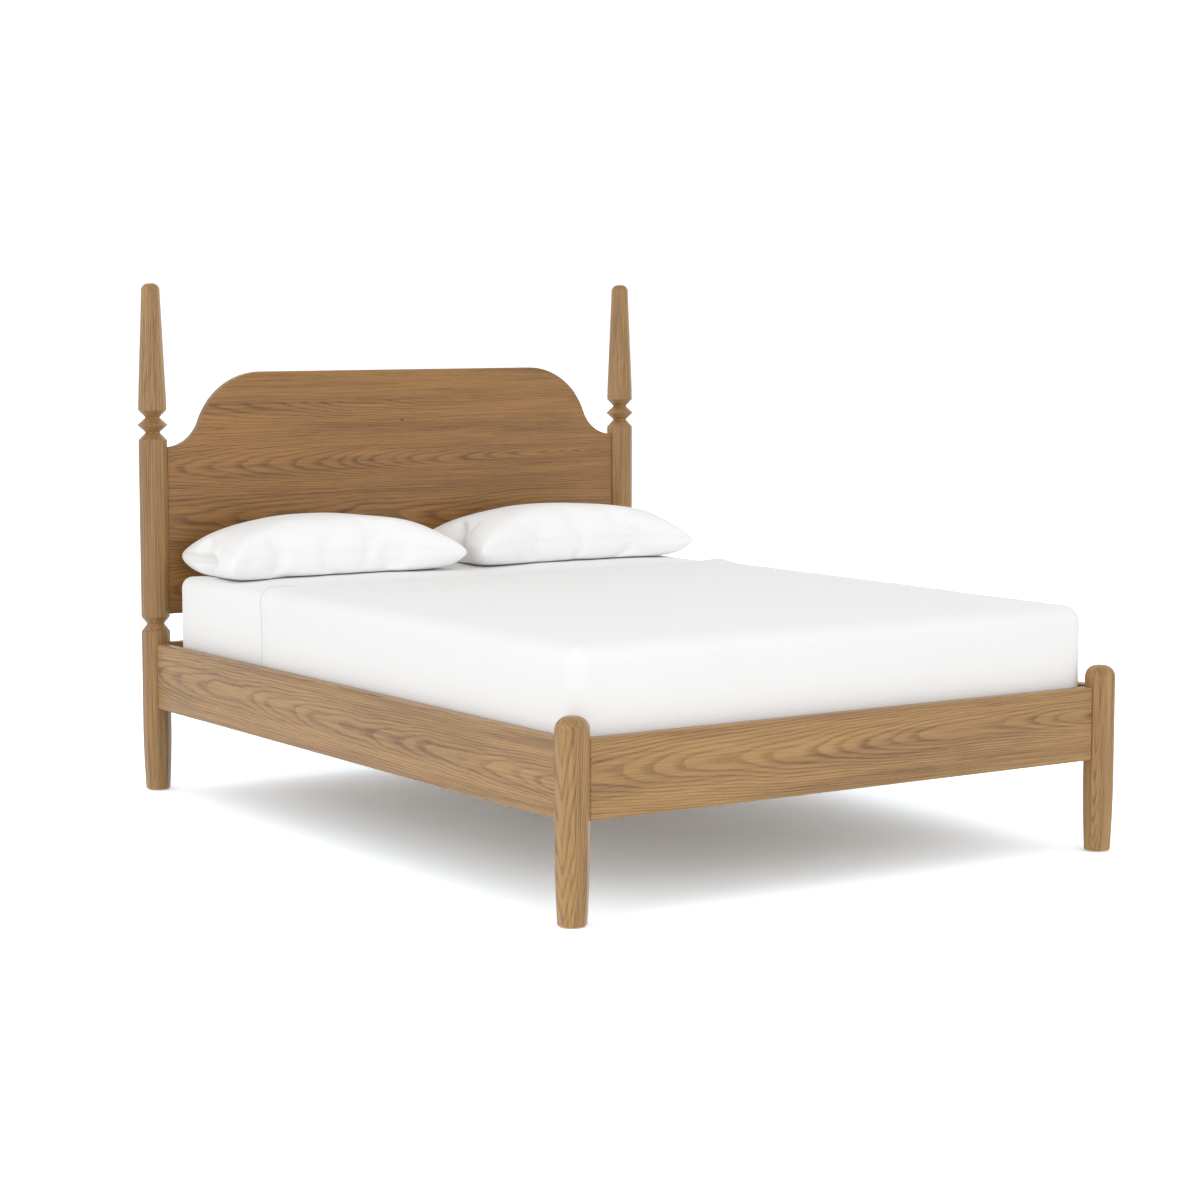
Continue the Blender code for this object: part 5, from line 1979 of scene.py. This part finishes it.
@dataclass
class Pillow:
    """A pillow in its case: two panels sewn round, filled, and lying on the fitted sheet.

    Attributes:
        node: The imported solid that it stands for.
        body: The body that it rides on.
        side: -1 left, 1 right.
        seed: Shifts its lumps.
        skew: How far its outer end is drawn in at the back.
        open_end: Whether its outer end is the case's open one.
        smoothing: Rounds of easing after it is filled.
        cut: The panels' size.
        cells: The panels' grid.
        seam_height: How high the seam lies above the sheet.
        frames: How long it is blown up.
        pressure: How hard.
        pitch: From thread to thread.
        white: Its case's colour.
        draw_in: How far the seam is pulled in at the ends and along the sides.
        lips: How far an open end's two lips sink in and down.
        clear: What the underside keeps from the sheet.
    """

    node: str
    body: str
    side: int
    seed: float
    skew: float
    open_end: bool = False
    smoothing: int = 8
    cut: Flat = (0.82, 0.46)
    cells: tuple[int, int] = (82, 46)
    seam_height: float = 0.060
    frames: int = 24
    pressure: float = 4.0
    pitch: float = 0.0006
    white: Point = (0.955, 0.955, 0.953)
    draw_in: Flat = (0.0030, 0.0062)
    lips: Flat = (0.052, 0.004)
    clear: float = 0.0002

    def panels(self) -> bpy.types.Object:
        """Makes the two sewn panels, laid nearly flat.

        Returns:
            The panels, as one piece.
        """
        nx, ny = self.cells
        verts: list[Point] = []
        index: dict[tuple[int, int, int], int] = {}
        for layer in (0, 1):
            for j in range(ny + 1):
                for i in range(nx + 1):
                    rim = i in (0, nx) or j in (0, ny)
                    if layer and rim:
                        index[1, i, j] = index[0, i, j]
                        continue
                    u, v = 2 * i / nx - 1, 2 * j / ny - 1
                    x = u * self.cut[0] / 2 * (1 - 0.020 * v ** 4)
                    y = v * self.cut[1] / 2 * (1 - 0.030 * u ** 4)
                    z = 0.022 * (1 - u ** 2) * (1 - v ** 2)
                    wobble = 0.0015 * noise.noise(Vector((x * 21.0, y * 21.0, self.seed)))
                    index[layer, i, j] = len(verts)
                    verts.append((x, y, (z + wobble) * (1 if layer == 0 else -1) * (0 if rim else 1)))
        faces = []
        flats = []
        for layer in (0, 1):
            for j in range(ny):
                for i in range(nx):
                    corners = [(i, j), (i + 1, j), (i + 1, j + 1), (i, j + 1)]
                    if layer:
                        corners.reverse()
                    faces.append(tuple(index[layer, a, b] for a, b in corners))
                    far = layer * PANEL_STEP
                    flats.extend((self.cut[0] * a / nx, self.cut[1] * b / ny + far) for a, b in corners)
        mesh = bpy.data.meshes.new(self.node)
        mesh.from_pydata(verts, [], faces)
        mesh.update()
        layer_map = mesh.uv_layers.new(name="cloth")
        for loop, flat in enumerate(flats):
            layer_map.data[loop].uv = flat
        cotton = Cotton(f"{self.node} cotton", pitch=self.pitch, white=self.white)
        return link(f"{self.node}_case", mesh, cotton.make())

    def fill(self, obj: bpy.types.Object) -> None:
        """Blows the panels up until their seams pucker.

        Args:
            obj: The panels.
        """
        cloth = obj.modifiers.new("Filling", "CLOTH")
        settings = cloth.settings
        settings.quality = 6
        settings.mass = 0.20
        settings.air_damping = 2.0
        settings.tension_stiffness = 18.0
        settings.compression_stiffness = 18.0
        settings.shear_stiffness = 6.0
        settings.bending_stiffness = 0.35
        settings.use_pressure = True
        settings.uniform_pressure_force = self.pressure
        settings.effector_weights.gravity = 0.0
        cloth.collision_settings.use_collision = False
        cloth.point_cache.frame_start = 1
        cloth.point_cache.frame_end = self.frames
        for step in range(1, self.frames + 1):
            bpy.context.scene.frame_set(step)
        settle(obj)
        bpy.context.scene.frame_set(1)
        ease = obj.modifiers.new("Ease the puckers", "SMOOTH")
        ease.factor = 0.5
        ease.iterations = self.smoothing
        settle(obj)

    def rest(self, obj: bpy.types.Object) -> None:
        """Lays the filled pillow on the fitted sheet, flat underneath.

        Args:
            obj: The pillow, blown up about its seam.
        """
        low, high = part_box(self.node)
        points = np.array([v.co for v in obj.data.vertices], float)
        nx, ny = self.cells
        ends = [[j * (nx + 1) + i for j in range(ny + 1)] for i in (0, nx)]
        rim = ends[0] + ends[1] + [j * (nx + 1) + i for j in (0, ny) for i in range(nx + 1)]
        span = points.max(0) - points.min(0)
        centre = (points.max(0) + points.min(0)) / 2
        u = (points[:, 0] - centre[0]) / (span[0] / 2)
        v = (points[:, 1] - centre[1]) / (span[1] / 2)
        crown = points[:, 2].max()
        tall = high.z - low.z
        up = (tall - self.seam_height) * (np.clip(points[:, 2], 0.0, None) / crown) ** 0.80
        down = np.clip(-points[:, 2], 0.0, None)
        down = self.seam_height * np.tanh(down / (crown * 0.30))
        lump = ripple(np.column_stack((u * 1.6, v * 1.2, v * 0.0)), (1.0, 1.0, 1.0), self.seed + 4.0)
        up = up * (1.0 + 0.05 * lump)
        z = up - down
        outer = np.clip(self.side * u, 0.0, 1.0)
        drawn = (1.0 + v) / 2
        x = u * (high.x - low.x) / 2 - self.side * self.skew * outer ** 2 * drawn
        corner = np.clip(np.abs(u), 0.0, 1.0) ** 6
        z = z - self.seam_height * 0.18 * corner
        points[:, 0] = (low.x + high.x) / 2 + x
        points[:, 1] = (low.y + high.y) / 2 + v * (high.y - low.y) / 2
        points[:, 2] = low.z + self.seam_height + z
        inward = np.column_stack((-u * self.draw_in[0], -v * self.draw_in[1], v * 0.0))
        points[rim] += inward[rim]
        if self.open_end:
            self.part_lips(points, ends[0 if self.side < 0 else 1], v)
        points[:, 2] = np.maximum(points[:, 2], low.z + self.clear)
        obj.data.vertices.foreach_set("co", points.ravel())
        obj.data.update()

    def part_lips(self, points: np.ndarray, row: list[int], v: np.ndarray) -> None:
        """Draws the end seam in between its two lips, as a case's open end.

        Args:
            points: The pillow's points, changed in place.
            row: The points of the end's seam.
            v: Each point's place from front to back, from -1 to 1.
        """
        for index in row:
            share = max(0.0, 1.0 - ((float(v[index]) - 0.30) / 0.66) ** 2)
            points[index, 0] -= self.side * self.lips[0] * share
            points[index, 2] -= self.lips[1] * share

    def build(self) -> None:
        """Makes the pillow."""
        obj = self.panels()
        self.fill(obj)
        self.rest(obj)
        smooth = obj.modifiers.new("Finer cloth", "SUBSURF")
        smooth.levels = 1
        smooth.render_levels = 1
        settle(obj)
        obj.data.shade_smooth()
        join_bed(obj, self.body, "white_cotton", self.node)


# ---------------------------------------------------------------- studio


@dataclass
class Studio:
    """A white world, a pale floor, soft light and the camera.

    Attributes:
        camera_at: The camera's place.
        camera_turn: Its rotation in degrees.
        lens: Its focal length in millimetres.
        sensor: Its sensor's width in millimetres.
        floor_half: Half the floor's width.
        horizon: The world's light level with the bed.
        zenith: The world's light overhead.
        ground: The world's light from below.
        lamps: Each soft lamp's place, aim, width and power.
        shade_share: The share of the bed's width and length that the shade below the floor covers.
        shade_depth: How far below the floor that shade starts and ends.
    """

    camera_at: Point = (-4.2153, -6.3004, 1.3921)
    camera_turn: Point = (83.9835, 0.0, -33.786)
    lens: float = 85.0
    sensor: float = 36.0
    floor_half: float = 30.0
    horizon: float = 1.11
    zenith: float = 0.84
    ground: float = 0.90
    lamps: tuple[tuple[Point, Point, float, float], ...] = (
        ((-5.2, -2.0, 2.6), (0.0, 0.0, 0.6), 2.6, 34.0),
        ((-1.5, -6.5, 2.8), (0.0, 0.0, 0.6), 3.0, 44.0),
    )
    shade_share: Flat = (0.94, 0.95)
    shade_depth: Flat = (0.010, 0.020)

    def build(self) -> None:
        """Makes the studio."""
        scene = bpy.context.scene
        scene.view_settings.view_transform = "Standard"
        room = Room("white room")
        _, _, up = room.split(room.node("ShaderNodeTexCoord", out="Generated"))
        sky = self.horizon + up.rise(0.05, 1.0) * (self.zenith - self.horizon)
        below = (1.0 - up.rise(-0.85, -0.25)) * (self.horizon - self.ground)
        plug(room.tree, room.shader.inputs["Strength"], sky - below)
        room.shader.inputs["Color"].default_value = (1.0, 1.0, 1.0, 1.0)
        scene.world = room.world
        camera = bpy.data.cameras.new("camera")
        camera.lens = self.lens
        camera.sensor_width = self.sensor
        camera.clip_end = 200.0
        holder = bpy.data.objects.new("camera", camera)
        holder.location = self.camera_at
        holder.rotation_euler = [math.radians(a) for a in self.camera_turn]
        scene.collection.objects.link(holder)
        scene.camera = holder
        for k, (place, aim, size, power) in enumerate(self.lamps):
            lamp = bpy.data.lights.new(f"soft light {k}", "AREA")
            lamp.size = size
            lamp.energy = power
            stand = bpy.data.objects.new(lamp.name, lamp)
            stand.location = place
            stand.rotation_euler = (Vector(aim) - Vector(place)).to_track_quat("-Z", "Y").to_euler()
            scene.collection.objects.link(stand)
        self.floor()

    def floor(self) -> None:
        """Makes the floor, and the dark block below it that stands for its shadowed part.

        The floor is so pale that it would light the bed from below, so it gives the bed no light.
        The block keeps the world's light off the bed's underside instead.
        """
        bm = bmesh.new()
        bmesh.ops.create_grid(bm, x_segments=8, y_segments=8, size=self.floor_half)
        floor = piece_of("floor", bm, PaleFloor().make())
        floor.visible_diffuse = False
        floor.visible_glossy = False
        floor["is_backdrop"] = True
        low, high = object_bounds()
        wide, long = self.shade_share
        upper, lower = self.shade_depth
        bm = block((low.x * wide, low.y * long, -lower), (high.x * wide, high.y * long, -upper))
        dark = PaleFloor("under bed shade", (0.02, 0.02, 0.02), 0.04)
        shade = piece_of("under_bed_shade", bm, dark.make())
        shade.visible_camera = False
        shade.visible_glossy = False
        shade.visible_shadow = False
        shade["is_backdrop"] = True


def main() -> None:
    """Makes the studio and the bed, one sub-assembly after another."""
    Studio().build()
    Posts().build()
    Rails().build()
    Headboard().build()
    SlatBase().build()
    Mattress().build()
    sheets = Sheets()
    sheets.fitted()
    sheets.cover()
    Pillow("pillow_left", "left_pillow", -1, 1.0, skew=0.030, open_end=True).build()
    Pillow("pillow_right", "right_pillow", 1, 8.0, skew=0.050).build()


if __name__ == "__main__":
    main()
